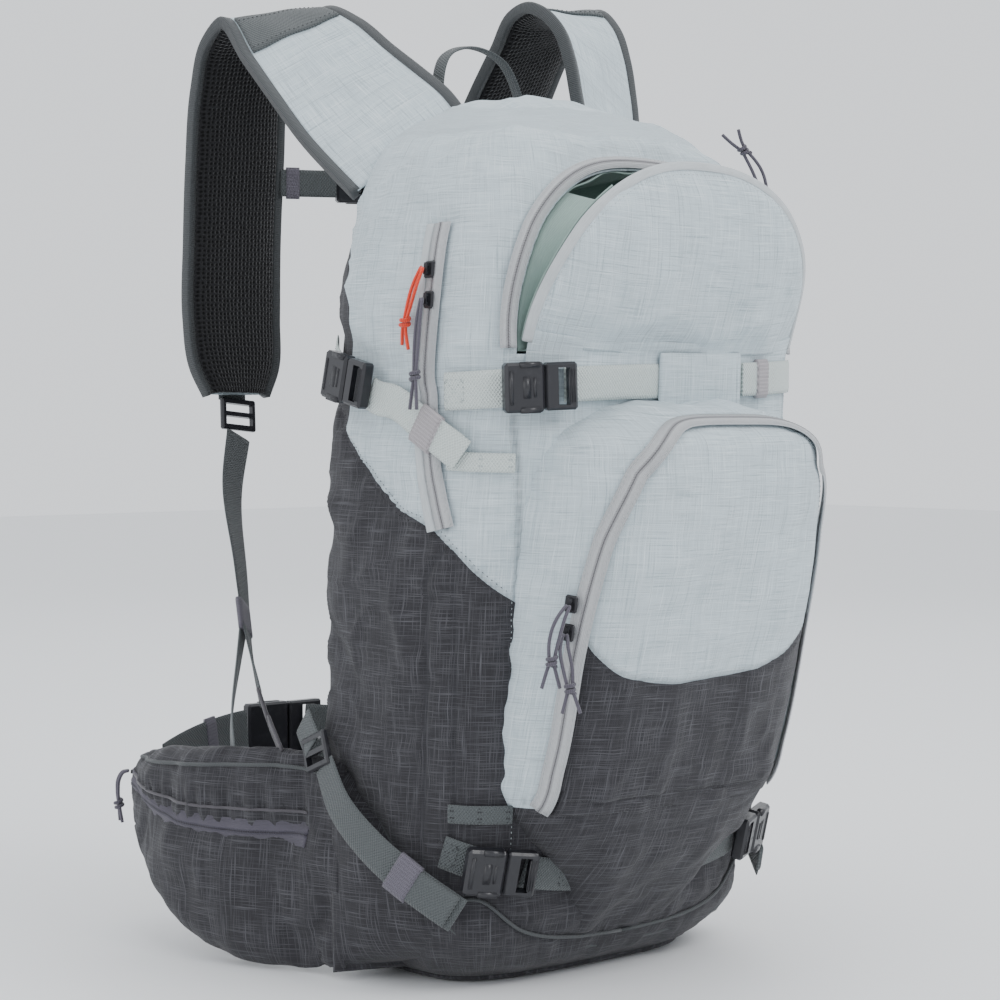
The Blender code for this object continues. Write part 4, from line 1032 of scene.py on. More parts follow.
def make_pocket():
    """Front pocket: its gusset round the zip, and the crowned face of two fabrics."""
    heights = np.concatenate([np.linspace(0.030, 0.115, 50)[:-1], np.linspace(0.115, 0.300, 70)[:-1],
                              np.linspace(0.300, 0.340, 26)])
    angles = np.linspace(math.pi, 2 * math.pi, 170)
    half = smooth(POCKET_Z, POCKET_HALF, heights)[:, None]
    front = smooth(POCKET_Z, POCKET_FRONT, heights)[:, None]
    x = half * signed_power(np.cos(angles), 2 / POCKET_POWER)[None]
    y = POCKET_ROOT + (POCKET_ROOT - front) * signed_power(np.sin(angles), 2 / POCKET_POWER)[None]
    places = np.stack([x, y, np.repeat(heights[:, None], len(angles), 1)], -1)
    caps = []
    for k in range(1, 9):
        t = k / 8
        row = places[-1].copy()
        row[:, 0] *= 1 - 0.5 * t
        row[:, 1] = -0.06 + (row[:, 1] + 0.06) * (1 - 0.5 * t)
        row[:, 2] = 0.340 + 0.0045 * math.sin(0.5 * math.pi * t)
        caps.append(row)
    places = np.concatenate([places, np.array(caps)])
    normals = grid_normals(places)
    foot_line = np.stack([np.linspace(-0.1, 0.1, 80), np.zeros(80),
                          0.092 + 8.0 * np.linspace(-0.1, 0.1, 80) ** 2 * 0.3], -1)
    foot_line[:, 1] = pocket_depth(foot_line[:, 0], foot_line[:, 2])
    zip_line = arch_line(PANEL[0] + SEAM_GAP, PANEL[1], PANEL[2] + SEAM_GAP, PANEL[3], 200)
    zip_places = np.stack([zip_line[:, 0], pocket_depth(zip_line[:, 0], zip_line[:, 1]), zip_line[:, 1]], -1)
    near_seam = distance_to(places, foot_line)
    near_zip = distance_to(places, zip_places)
    full = (1 - np.exp(-((near_seam / 0.012) ** 2))) * np.clip((near_zip - 0.008) / 0.012, 0, 1)
    rise = full * (0.0012 + 0.0010 * ripple(places, 0.050, 41) + 0.0006 * ripple(places, 0.022, 42))
    rise -= 0.0009 * np.exp(-((near_seam / 0.0016) ** 2))
    moved = places + normals * rise[..., None]
    quads = grid_faces(*moved.shape[:2])
    arch = (PANEL[0] + SEAM_GAP, PANEL[1] - SEAM_GAP, PANEL[2] + 2 * SEAM_GAP, PANEL[3])

    def inside(p):
        high = (p[..., 2] > arch[1]) & (p[..., 2] < arch[2])
        return high & (np.abs(p[..., 0]) < arch_half(p[..., 2], *arch)) & (p[..., 1] < -0.08)

    line = np.concatenate([arch_line(*arch, 300),
                           np.stack([np.linspace(-arch[0], arch[0], 200), np.full(200, arch[1])], -1)])
    keep = cut_outline(moved, quads, inside, line, pocket_depth)
    centre = moved.reshape(-1, 3)[quads].mean(-2)
    keep &= centre[..., 1] < body_depth(centre[..., 0], centre[..., 2]) + 0.004
    along = np.concatenate([np.zeros((len(places), 1)),
                            np.cumsum(np.linalg.norm(np.diff(places, axis=1), axis=-1), 1)], 1)
    cloth = np.stack([along - along[:, 85:86], places[..., 2]], -1)
    dark = np.maximum(LIGHT_FOOT - places[..., 2],
                      np.minimum(0.1215 - places[..., 2], 0.0940 - np.abs(places[..., 0])))
    # mask of the painted shade along the foot seam
    seam = np.exp(-((near_seam / 0.002) ** 2))
    gusset = grid_object("pocket_gusset_fabric", moved, SHELL_CLOTH, cloth, {"dark": dark, "seam": seam},
                         keep=keep)
    thicken(gusset, FABRIC, -1.0)
    put(gusset, "bag", "light_fabric", "pocket_gusset")

    x, z = arched_grid(PANEL, 130, 120)
    places = np.stack([x, pocket_depth(x, z), z], -1)
    out = face_normal(pocket_depth, x, z)
    border = np.minimum(arch_half(z, *PANEL) - np.abs(x), PANEL[2] - z)
    edge = np.clip(border / 0.030, 0, 1)
    edge = edge * edge * (3 - 2 * edge)
    seam_z = smooth(*np.array(POCKET_SEAM).T, x)
    near = np.abs(z - seam_z) * 0.95
    rise = edge * (0.0022 + 0.0009 * ripple(places, 0.060, 51))
    rise += 0.0006 * np.clip(border / 0.010, 0, 1) * ripple(places, 0.024, 52)
    low = np.clip((0.19 - z) / 0.07, 0, 1) * edge
    rise += low * 0.0016 * (1 - np.abs(ripple(np.stack([x, x * 0, z * 1.8], -1), 0.045, 54))).clip(0, 1) ** 2
    rise -= 0.0012 * np.exp(-((near / 0.0018) ** 2))
    moved = places + out * rise[..., None]
    cloth = np.stack([x, z], -1)
    # the 'seam' value is the mask of the painted shade along the seam
    panel = grid_object("pocket_face_fabric", moved, SHELL_CLOTH, cloth,
                        {"dark": seam_z - z, "seam": np.exp(-((near / 0.0022) ** 2))})
    thicken(panel, 0.0022, -1.0)
    put(panel, "pocket_panel", "light_fabric", "pocket_panel")
    tree = BVHTree.FromObject(panel, bpy.context.evaluated_depsgraph_get())
    for offset, thread in ((0.0030, LIGHT_THREAD), (-0.0030, DARK_THREAD)):
        xs = np.linspace(-0.093, 0.093, 160)
        zs = smooth(*np.array(POCKET_SEAM).T, xs) + offset
        row = np.stack([xs, pocket_depth(xs, zs), zs], -1)
        row, up = drape(tree, row, face_normal(pocket_depth, xs, zs))
        stitch("pocket_panel", thread, row, up)
    inner = arch_line(PANEL[0] - 0.0030, PANEL[1] + 0.006, PANEL[2] - 0.0030, PANEL[3], 160)
    row = np.stack([inner[:, 0], pocket_depth(inner[:, 0], inner[:, 1]), inner[:, 1]], -1)
    row, up = drape(tree, row, face_normal(pocket_depth, inner[:, 0], inner[:, 1]))
    stitch("pocket_panel", LIGHT_THREAD, row, up)


def hinge_strip(name, surface, low, high, half, material, turn=None):
    """Fabric that joins a hinged panel's foot to the bag: it follows both and bends between them."""
    x, t = np.meshgrid(np.linspace(-half, half, 90), np.linspace(0, 1, 16))
    z = low + (high - low) * t
    places = np.stack([x, surface(x, z) - 0.0010, z], -1)
    if turn is not None:
        share = np.clip((t - 0.3) / 0.5, 0, 1)[..., None]
        places = places * (1 - share) + turn(places) * share
    strip = grid_object(name, places, material, np.stack([x, z], -1))
    thicken(strip, 0.0012, -1.0)
    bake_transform(strip)
    return strip


def make_hinge_strips():
    """Fabric hinges at the feet of the goggle flap and of the pocket's face."""
    hinge_strip("goggle_flap_hinge_fabric", body_depth, 0.3625, 0.3800, 0.1090,
                LIGHT_FABRIC, tilt)
    hinge_strip("pocket_face_hinge_fabric", pocket_depth,
                0.1080, 0.1235, 0.0900, DARK_FABRIC)


# ---------------------------------------------------------------- zips
def zip_profile(width):
    """Closed outline of a zip: two flat tapes with a low rise where they meet."""
    half = width / 2
    top = [(-half, 0.0004), (-0.0022, 0.0008), (-0.0017, 0.0014), (-0.0006, 0.0015), (0.0, 0.0011),
           (0.0006, 0.0015), (0.0017, 0.0014), (0.0022, 0.0008), (half, 0.0004)]
    return top + [(half, -0.0004), (-half, -0.0004)]


def zip_along(name, line, surface, sign, outset, width, lift, material, slot_name, node_name, thread):
    """Zip on a depth surface, outside of an outline, with its two rows of stitches."""
    x, z = line[:, 0], line[:, 1]
    out = face_normal(surface, x, z, sign)
    places = np.stack([x, surface(x, z), z], -1)
    ahead = unit(np.gradient(places, axis=0))
    away = unit(places - [0, 0, 0.28])
    side = np.cross(ahead, out)
    side *= np.sign((side * away).sum(-1, keepdims=True))
    path = places + side * outset + out * lift
    put(sweep(name, path, out, zip_profile(width), material), "bag", slot_name, node_name)
    for across in (-0.42, 0.42):
        stitch("bag", thread, path + side * across * width + out * 0.0005, out, pitch=0.003, dash=0.002)


def make_zips():
    """All the zips: side, back, goggle pocket and front pocket."""
    for name, side in (("side_zip_tape", 1), ("side_zip_seam_right", -1)):
        line, out = angle_line(SIDE_ZIP_ROUTE, 110, 0.0016)
        flip = np.array([side, 1.0, 1.0])
        if side > 0:
            made = sweep(name, line, out, zip_profile(0.0125), LIGHT_ZIP)
            put(made, "bag", "tape_light", "side_zip")
            across = np.cross(unit(np.gradient(line, axis=0)), out)
            for offset in (-0.0052, 0.0052):
                stitch("bag", LIGHT_THREAD, line + across * offset + out * 0.0005, out, 0.003, 0.002)
            flap_edge = sweep("side_zip_garage", line + across * 0.0085 - out * 0.0002, out,
                              flat_profile(0.0055, 0.0016, 4), LIGHT_HEM)
            put(flap_edge, "bag", "light_fabric")
        else:
            made = sweep(name, line * flip, out * flip, flat_profile(0.006, 0.0010, 4), LIGHT_HEM)
            put(made, "bag", "light_fabric")
    back_line = arch_line(BACK[0] + 0.008, BACK[1] + 0.015, BACK[2] + 0.008, BACK[3], 180)
    zip_along("back_zip_tape", back_line, body_back, 1.0, 0.0, 0.0135, 0.0012, DARK_ZIP, "tape_dark",
              "back_zip", DARK_THREAD)
    goggle_line = arch_line(FLAP[0] + SEAM_GAP, FLAP[1] + 0.002, FLAP[2] + SEAM_GAP, FLAP[3], 150)
    zip_along("goggle_zip_tape", goggle_line, body_depth, -1.0, 0.0045, 0.0095, 0.0014, LIGHT_ZIP,
              "tape_light", "goggle_zip", LIGHT_THREAD)
    pocket_line = arch_line(PANEL[0] + SEAM_GAP, PANEL[1] - 0.003, PANEL[2] + SEAM_GAP, PANEL[3], 180)
    zip_along("pocket_zip_tape", pocket_line, pocket_depth, -1.0, 0.0035, 0.0125, 0.0022, LIGHT_ZIP,
              "tape_light", "pocket_zip", LIGHT_THREAD)


# ---------------------------------------------------------------- straps on the bag
def box_tack(body, thread, middle, ahead, out, length=0.012, width=0.013, lift=0.0):
    """Sewn box with a cross, as straps are fastened."""
    middle, ahead, out = np.array(middle), unit(ahead), unit(out)
    side = np.cross(ahead, out)
    corner = [middle + a * ahead * length / 2 + b * side * width / 2 + out * lift
              for a, b in ((-1, -1), (1, -1), (1, 1), (-1, 1))]
    for a, b in ((0, 1), (1, 2), (2, 3), (3, 0), (0, 2), (1, 3)):
        line = [corner[a] + (corner[b] - corner[a]) * t for t in np.linspace(0, 1, 8)]
        stitch(body, thread, line, [out] * 8, pitch=0.0028, dash=0.0021)


def bag_strap(name, route, lift, material, slot_name, side=1, width=WEB_WIDTH, thick=WEBBING, *replaced):
    """Strap that lies on the bag along a route of angles and heights."""
    line, out = angle_line(route, 60, lift)
    flip = np.array([side, 1.0, 1.0])
    made = sweep(name, line * flip, out * flip, flat_profile(width, thick), material)
    put(made, "bag", slot_name, *replaced)
    return line * flip, out * flip


def keeper(name, line, out, at, material, slot_name, body="bag", length=0.011, width=0.0235, thick=0.0034):
    """Elastic band round a strap and its folded tail."""
    index = int(at * (len(line) - 1))
    ahead = unit(line[min(index + 1, len(line) - 1)] - line[max(index - 1, 0)])
    path = [line[index] + ahead * s * length - unit(out[index]) * 0.0004 for s in np.linspace(-0.5, 0.5, 8)]
    made = sweep(name, path, [out[index]] * 8, flat_profile(width, thick), material)
    return put(made, body, slot_name)


def make_bag_straps():
    """Front strap, side straps, gear loops and the short straps of the lower buckles."""
    route, lift = STRAP_ROUTES["front_strap"]
    line, out = bag_strap("front_strap_webbing", route, lift, LIGHT_WEB, "webbing_light", 1,
                          WEB_WIDTH, WEBBING, "front_strap")
    tail_route = [(281, 0.3582), (285, 0.3586), (290, 0.3590), (295, 0.3594)]
    bag_strap("front_strap_tail", tail_route, lift + 0.0017, LIGHT_WEB, "webbing_light")
    keeper("front_strap_keeper", line, out, 0.62, LIGHT_ELASTIC, "webbing_light", thick=0.0046)
    cover, _ = angle_line([(268, 0.3565), (272, 0.3569), (276, 0.3573), (280, 0.3577)], 30, 0.0026)
    normal = body_normal(np.full(30, 272.0), np.full(30, 0.356))
    put(sweep("front_strap_sleeve", cover, normal, flat_profile(0.0330, 0.0015, 12), LIGHT_TAB), "bag",
        "light_fabric")
    for sign in (-1, 1):
        stitch("bag", LIGHT_THREAD, cover + [0, 0, sign * 0.0145] + normal * 0.0015, normal)
    route, lift = STRAP_ROUTES["front_anchor"]
    line, out = bag_strap("front_strap_anchor", route, lift, LIGHT_WEB, "webbing_light", 1, 0.0215)
    box_tack("bag", LIGHT_THREAD, line[8] + out[8] * WEBBING, line[9] - line[7], out[8])
    for side, suffix in ((1, "_left"), (-1, "_right")):
        route, lift = STRAP_ROUTES["side_anchor"]
        line, out = bag_strap("side_anchor" + suffix, route, lift, LIGHT_WEB, "webbing_light", side)
        box_tack("bag", LIGHT_THREAD, line[10] + out[10] * WEBBING, line[11] - line[9], out[10])
        route, lift = STRAP_ROUTES["side_strap"]
        replaced = ("side_strap_left",) if side > 0 else ()
        line, out = bag_strap("side_strap_webbing" + suffix, route, lift, LIGHT_WEB, "webbing_light", side,
                              WEB_WIDTH, WEBBING, *replaced)
        tail = [(189, 0.3318), (196, 0.3244), (202, 0.3182), (206, 0.3140)]
        bag_strap("side_strap_tail" + suffix, tail, lift + 0.0018, LIGHT_WEB, "webbing_light", side)
        keeper("side_strap_keeper" + suffix, line, out, 0.55, LIGHT_ELASTIC, "webbing_light", length=0.016,
               thick=0.0048)
        route, lift = STRAP_ROUTES["side_gear_loop"]
        line, out = bag_strap("side_gear_loop" + suffix, route, lift, LIGHT_WEB, "webbing_light", side,
                              0.011)
        for at in (4, 30, 55):
            box_tack("bag", LIGHT_THREAD, line[at] + out[at] * WEBBING, line[at] - line[at - 1], out[at],
                     0.002, 0.008)
        route, lift = STRAP_ROUTES["low_gear_loop"]
        line, out = bag_strap("low_gear_loop" + suffix, route, lift, DARK_WEB, "webbing_dark", side, 0.011)
        for at in (4, 30, 55):
            box_tack("bag", DARK_THREAD, line[at] + out[at] * WEBBING, line[at] - line[at - 1], out[at],
                     0.002, 0.008)
        for name in ("low_anchor", "low_strap"):
            route, lift = STRAP_ROUTES[name]
            line, out = bag_strap(name + suffix, route, lift, DARK_WEB, "webbing_dark", side)
            at = 8 if name == "low_anchor" else 50
            box_tack("bag", DARK_THREAD, line[at] + out[at] * WEBBING, line[at] - line[at - 1], out[at])


# ---------------------------------------------------------------- back
def cushion(name, low, high, material, body, slot_name, replaced, crown=0.0022, channels=()):
    """Foam pad on the back: a crowned box with soft corners, its face towards +Y."""
    rows, columns = 60, 44
    s = np.linspace(-1, 1, columns)
    t = np.linspace(-1, 1, rows)
    across, up = np.meshgrid(signed_power(s, 0.9), signed_power(t, 0.9))
    middle, half = (np.array(low) + high) / 2, (np.array(high) - low) / 2
    corner = (1 - np.abs(across) ** 6) * (1 - np.abs(up) ** 6)
    thick = high[1] - low[1]
    x = middle[0] + across * half[0] * (1 - 0.02 * up**2)
    z = middle[2] + up * half[2] * (1 - 0.015 * across**2)
    y = low[1] + 0.0006 + (thick - crown) * np.clip(corner, 0, 1) ** 0.33 + crown * np.clip(corner, 0, 1)
    for channel in channels:
        y -= 0.0035 * np.exp(-(((z - channel) / 0.0035) ** 2)) * np.clip(corner, 0, 1) ** 0.5
    places = np.stack([x, y, z], -1)
    obj = grid_object(name, places[:, ::-1], material, np.stack([x, z], -1)[:, ::-1])
    thicken(obj, 0.0010, -1.0)
    put(obj, body, slot_name, replaced)
    edge = np.concatenate([places[0, :], places[1:, -1], places[-1, ::-1][1:], places[::-1, 0][1:]])
    out = np.repeat([[0.0, 1.0, 0.0]], len(edge), 0)
    put(sweep(name + "_piping", edge + [0, 0.0006, 0], out, round_profile(0.0014, 8), BINDING), body,
        "dark_fabric")
    return obj


def make_back():
    """Back panel with its spacer mesh pads and piping; the frame sheet stays as it is."""
    line = arch_line(*BACK, 220)
    foot = np.stack([np.linspace(BACK[0], -BACK[0], 70)[1:-1], np.full(68, BACK[1])], -1)
    outline = np.concatenate([line, foot])
    middle = np.array([0.0, 0.27])
    rings, depths = [], []
    for s, y in ((1.0, 0.0796), (1.0, 0.0815), (1.0, 0.0840), (0.996, 0.0856), (0.985, 0.0862),
                 (0.95, 0.0862),
                 (0.85, 0.0862), (0.7, 0.0861), (0.5, 0.0861), (0.3, 0.0861), (0.1, 0.0861), (0.01, 0.0861)):
        rings.append(middle + (outline - middle) * s)
        depths.append(y)
    rings = np.array(rings)
    places = np.stack([rings[..., 0], np.repeat(np.array(depths)[:, None], len(outline), 1), rings[..., 1]],
                      -1)
    places[5:, :, 1] -= 0.0004 * (1 + ripple(places[5:], 0.05, 61)) * 0.6
    panel = grid_object("back_panel_fabric", places, DARK_FABRIC, rings, wrap=True)
    work = bmesh.new()
    work.from_mesh(panel.data)
    bmesh.ops.recalc_face_normals(work, faces=work.faces)
    work.to_mesh(panel.data)
    work.free()
    thicken(panel, 0.0012, -1.0)
    put(panel, "back_panel", "dark_fabric", "back_panel")
    for side, name in ((-1, "back_pad_left"), (1, "back_pad_right")):
        low = np.array([min(side * 0.018, side * 0.080), 0.0864, 0.205])
        high = np.array([max(side * 0.018, side * 0.080), 0.0970, 0.420])
        cushion(name + "_cover", low, high, SPACER_MESH, "back_panel", "mesh_black", name,
                channels=(0.278, 0.350))
    cushion("lumbar_pad_cover", np.array([-0.080, 0.0864, 0.105]), np.array([0.080, 0.0990, 0.190]),
            SPACER_MESH, "back_panel", "mesh_black", "lumbar_pad", channels=(0.148,))
    edge = arch_line(BACK[0] - 0.004, BACK[1], BACK[2] - 0.004, BACK[3], 160)
    row = np.stack([edge[:, 0], np.full(160, 0.0866), edge[:, 1]], -1)
    stitch("back_panel", DARK_THREAD, row, np.repeat([[0.0, 1.0, 0.0]], 160, 0))


# ---------------------------------------------------------------- shoulder straps
PAD_OUTER_LEFT = [(-0.112, 0.050, 0.470), (-0.114, 0.072, 0.487), (-0.115, 0.100, 0.509),
                  (-0.115, 0.127, 0.534), (-0.115, 0.158, 0.564), (-0.115, 0.185, 0.590),
                  (-0.115, 0.205, 0.577), (-0.115, 0.216, 0.548), (-0.115, 0.222, 0.500),
                  (-0.115, 0.225, 0.450), (-0.115, 0.226, 0.400), (-0.112, 0.223, 0.368),
                  (-0.104, 0.220, 0.350)]
PAD_INNER_LEFT = [(-0.050, 0.022, 0.512), (-0.050, 0.045, 0.534), (-0.050, 0.070, 0.550),
                  (-0.050, 0.098, 0.567), (-0.050, 0.133, 0.589), (-0.050, 0.168, 0.601),
                  (-0.050, 0.198, 0.592), (-0.050, 0.214, 0.560), (-0.050, 0.220, 0.505),
                  (-0.050, 0.224, 0.450), (-0.050, 0.225, 0.400), (-0.053, 0.222, 0.368),
                  (-0.062, 0.220, 0.350)]
PAD_OUTER_RIGHT = [(0.112, 0.030, 0.470), (0.114, 0.040, 0.505), (0.115, 0.047, 0.547),
                   (0.115, 0.053, 0.572), (0.115, 0.063, 0.593), (0.115, 0.080, 0.606),
                   (0.115, 0.100, 0.603), (0.115, 0.118, 0.580), (0.115, 0.140, 0.545),
                   (0.115, 0.165, 0.505), (0.115, 0.180, 0.465), (0.115, 0.188, 0.420),
                   (0.113, 0.190, 0.385), (0.104, 0.190, 0.365)]
PAD_INNER_RIGHT = [(0.050, 0.018, 0.512), (0.050, 0.026, 0.535), (0.050, 0.0345, 0.566),
                   (0.050, 0.0427, 0.583), (0.050, 0.060, 0.598), (0.050, 0.075, 0.603),
                   (0.050, 0.092, 0.599), (0.050, 0.108, 0.580), (0.050, 0.135, 0.545),
                   (0.050, 0.160, 0.505), (0.050, 0.178, 0.465), (0.050, 0.187, 0.420),
                   (0.053, 0.189, 0.385), (0.062, 0.189, 0.365)]
PAD_THICKNESS = 0.010


def settle(obj, pinned, pressure=4.0, cap=0.005, frames=20, slack=0.0):
    """Inflate a closed piece as cloth under a little pressure; no point moves further than the cap."""
    rest = np.zeros(len(obj.data.vertices) * 3)
    obj.data.vertices.foreach_get("co", rest)
    group = obj.vertex_groups.new(name="sewn")
    group.add([int(k) for k in pinned], 1.0, "REPLACE")
    cloth = obj.modifiers.new("cloth", "CLOTH")
    cloth.settings.vertex_group_mass = "sewn"
    cloth.settings.use_pressure = True
    cloth.settings.uniform_pressure_force = pressure
    cloth.settings.shrink_min = -slack
    cloth.settings.quality = 5
    cloth.settings.effector_weights.gravity = 0.0
    cloth.point_cache.frame_end = frames
    for k in range(1, frames + 1):
        bpy.context.scene.frame_set(k)
    apply_modifiers(obj)
    bpy.context.scene.frame_set(1)
    obj.vertex_groups.clear()
    moved = np.zeros_like(rest)
    obj.data.vertices.foreach_get("co", moved)
    step = (moved - rest).reshape(-1, 3)
    size = np.linalg.norm(step, axis=1, keepdims=True)
    step *= np.minimum(1.0, cap / np.maximum(size, 1e-9))
    obj.data.vertices.foreach_set("co", (rest.reshape(-1, 3) + step).ravel())
    obj.data.update()


def make_shoulder_pad(name, low_x, high_x, replaced, band_at, bag_clear):
    """Shoulder pad: padded light fabric outside, spacer mesh inside, bound edges, a band over the top."""
    count, columns = 120, 26
    left, right = smooth_path(low_x, count), smooth_path(high_x, count)
    t = np.linspace(0, 1, columns)
    middle = (left[:, None] * (1 - t[None, :, None]) + right[:, None] * t[None, :, None])
    out = grid_normals(middle)
    far = np.abs(2 * t - 1)[None, :]
    crown = np.clip(1 - far**3.2, 0, 1)
    along = length_along((left + right) / 2)
    top = middle + out * (0.0012 * crown)[..., None]
    low = middle - out * (0.0034 + (PAD_THICKNESS - 0.0036) * crown ** 0.5)[..., None]
    top += out * (crown * 0.0008 * ripple(middle, 0.045, 71 + count))[..., None]
    cloth = np.stack(np.broadcast_arrays(along[:, None], (t * 0.066)[None, :]), -1)
    centre = middle[:-1, :-1]
    depth = body_back(np.clip(centre[..., 0], -0.1, 0.1), np.minimum(centre[..., 2], 0.521))
    clear = ~((centre[..., 2] < 0.515) & (centre[..., 1] < depth - bag_clear))
    upper = grid_object(name + "_fabric", top, LIGHT_FABRIC, cloth, keep=clear)
    thicken(upper, 0.0012, -1.0)
    put(upper, "bag", "light_fabric", replaced)
    lower = grid_object(name + "_mesh", low[:, ::-1], SPACER_MESH, cloth[:, ::-1], keep=clear[:, ::-1])
    thicken(lower, 0.0010, -1.0)
    put(lower, "bag", "mesh_black")
    for side, column in (("inner", 0), ("outer", columns - 1)):
        rows = np.flatnonzero(clear[:, 0 if column == 0 else -1])
        rows = np.arange(rows.min(), count)
        path = (top[rows, column] + low[rows, column]) / 2
        sign = 1 if column == 0 else -1
        profile = [(0.0016 * sign, 0.0024), (-0.0036 * sign, 0.0034), (-0.0046 * sign, 0.0026),
                   (-0.0046 * sign, 0.0020),
                   (-0.0046 * sign, -0.0040), (-0.0036 * sign, -0.0046), (0.0012 * sign, -0.0030),
                   (0.0024 * sign, 0.0)]
        put(sweep("%s_binding_%s" % (name, side), path, out[rows, column], profile, BINDING), "bag",
            "dark_fabric")
    at = int(band_at * count)
    rows = slice(at - 4, at + 5)
    band_places = top[rows, 1:-1] + out[rows, 1:-1] * 0.0018
    band = grid_object(name + "_band", band_places, DARK_WEB, cloth[rows, 1:-1][..., ::-1])
    put(thicken(band, 0.0014, -1.0), "bag", "webbing_dark")
    for row in (at - 3, at + 3):
        stitch("bag", DARK_THREAD, top[row, 1:-1] + out[row, 1:-1] * 0.0019, out[row, 1:-1])
    end = (left[-1] + right[-1]) / 2
    return end, top, low, out


def make_webbing_piece(name, route, first, last, body, replaced, width=WEB_WIDTH, material=None,
                       slot_name="webbing_dark"):
    """Free strap that turns from one facing to another along its route."""
    path = smooth_path(route, 60)
    t = np.linspace(0, 1, 60)[:, None]
    normals = np.array(first) * (1 - t) + np.array(last) * t
    made = sweep(name, path, normals, flat_profile(width, WEBBING), material or DARK_WEB)
    put(made, body, slot_name, *([replaced] if replaced else []))
    return path, normals


def make_harness():
    """Both shoulder straps, their webbing and sleeves, and the chest strap."""
    make_shoulder_pad("shoulder_strap_left", PAD_OUTER_LEFT, PAD_INNER_LEFT, "shoulder_pad_left", 0.36,
                      0.004)
    make_shoulder_pad("shoulder_strap_right", PAD_INNER_RIGHT, PAD_OUTER_RIGHT, "shoulder_pad_right", 0.35,
                      0.004)
    for side, suffix, route, first, last, tip in (
            (-1, "left", [(-0.0850, 0.2120, 0.3235), (-0.1020, 0.1955, 0.2900), (-0.1200, 0.1620, 0.2400),
                          (-0.1320, 0.1360, 0.1920), (-0.1420, 0.1110, 0.1620)],
             (-0.1, 1.0, -0.2), (-0.74, 0.67, 0.1), (-0.0830, 0.2205, 0.352)),
            (1, "right", [(0.0850, 0.1810, 0.3385), (0.1000, 0.1700, 0.2950), (0.1180, 0.1480, 0.2400),
                          (0.1300, 0.1300, 0.1920), (0.1420, 0.1110, 0.1620)],
             (0.1, 1.0, -0.2), (0.74, 0.67, 0.1), (0.0830, 0.1895, 0.367))):
        path, normals = make_webbing_piece("shoulder_webbing_%s_strap" % suffix, route, first, last, "bag",
                                           "shoulder_webbing_" + suffix)
        keeper("strap_sleeve_" + suffix, path, normals, 0.70, DARK_ELASTIC, "webbing_dark", length=0.020,
               thick=0.0042)
        tip = np.array(tip)
        ahead = unit(np.array([0.12 * side, -0.18, -0.98]))
        out = unit(np.array([0.0, 1.0, -0.18]))
        tab = [tip + ahead * s for s in np.linspace(-0.020, 0.006, 12)]
        tab = np.array(tab) + out * 0.001
        put(sweep("strap_tab_" + suffix, tab, [out] * 12, flat_profile(0.021, 0.0026), DARK_WEB), "bag",
            "webbing_dark")
        box_tack("bag", DARK_THREAD, tab[4] + out * 0.0026, ahead, out, 0.010, 0.014)
        index = int(0.72 * 59)
        tail = [path[index] + normals[index] * 0.0015,
                path[index] + np.array([0.010 * side, -0.006, -0.022]),
                path[index] + np.array([0.020 * side, -0.012, -0.060]),
                path[index] + np.array([0.024 * side, -0.020, -0.088])]
        make_webbing_piece("strap_tail_" + suffix, tail, normals[index], (0.9 * side, 0.5, 0.2), "bag", None,
                           0.0165, LIGHT_TAIL)
        anchor = [(side * 0.1400, 0.0900, 0.1280), (side * 0.1415, 0.1020, 0.1480),
                  (side * 0.1425, 0.1110, 0.1660)]
        for k, width in enumerate((0.040, 0.028)):
            line = np.array(anchor[k:k + 2])
            path2 = line[0] + (line[1] - line[0]) * np.linspace(0, 1, 8)[:, None]
            put(sweep("strap_anchor_%s_%d" % (suffix, k), path2, [(side * 0.74, 0.67, 0.1)] * 8,
                      flat_profile(width, 0.0022 + 0.0004 * k), SMOOTH_DARK), "bag", "dark_fabric")

    start, end = np.array([-0.0485, 0.2140, 0.4915]), np.array([0.0485, 0.1640, 0.4915])
    along = unit(end - start)
    out = np.array([-along[1], along[0], 0.0])
    middle = start + (end - start) * 0.52
    for name, a, b in (("sternum_strap_left", start, middle - along * 0.0190),
                       ("sternum_strap_right", middle + along * 0.0125, end)):
        t = np.linspace(0, 1, 24)[:, None]
        path = a * (1 - t) + b * t
        put(sweep(name + "_webbing", path, [out] * 24, flat_profile(0.018, WEBBING), DARK_WEB),
            "sternum_strap",
            "webbing_dark", name)
        at = 0.22 if name.endswith("left") else 0.75
        keeper(name + "_keeper", path, [out] * 24, at, DARK_ELASTIC, "webbing_dark", "sternum_strap", 0.009,
               0.021)


# ---------------------------------------------------------------- hip belt
FIN_INNER = [(-0.1385, 0.030), (-0.1390, 0.070), (-0.1390, 0.110), (-0.1380, 0.150), (-0.1340, 0.190),
             (-0.1240, 0.230), (-0.1080, 0.262)]
FIN_THICK = [0.0055, 0.012, 0.027, 0.036, 0.034, 0.026, 0.013]
FIN_LOW = [0.008, 0.003, 0.003, 0.012, 0.034, 0.062, 0.080]
FIN_HIGH = [0.130, 0.134, 0.132, 0.128, 0.123, 0.117, 0.112]
FIN_ZIP = 0.62


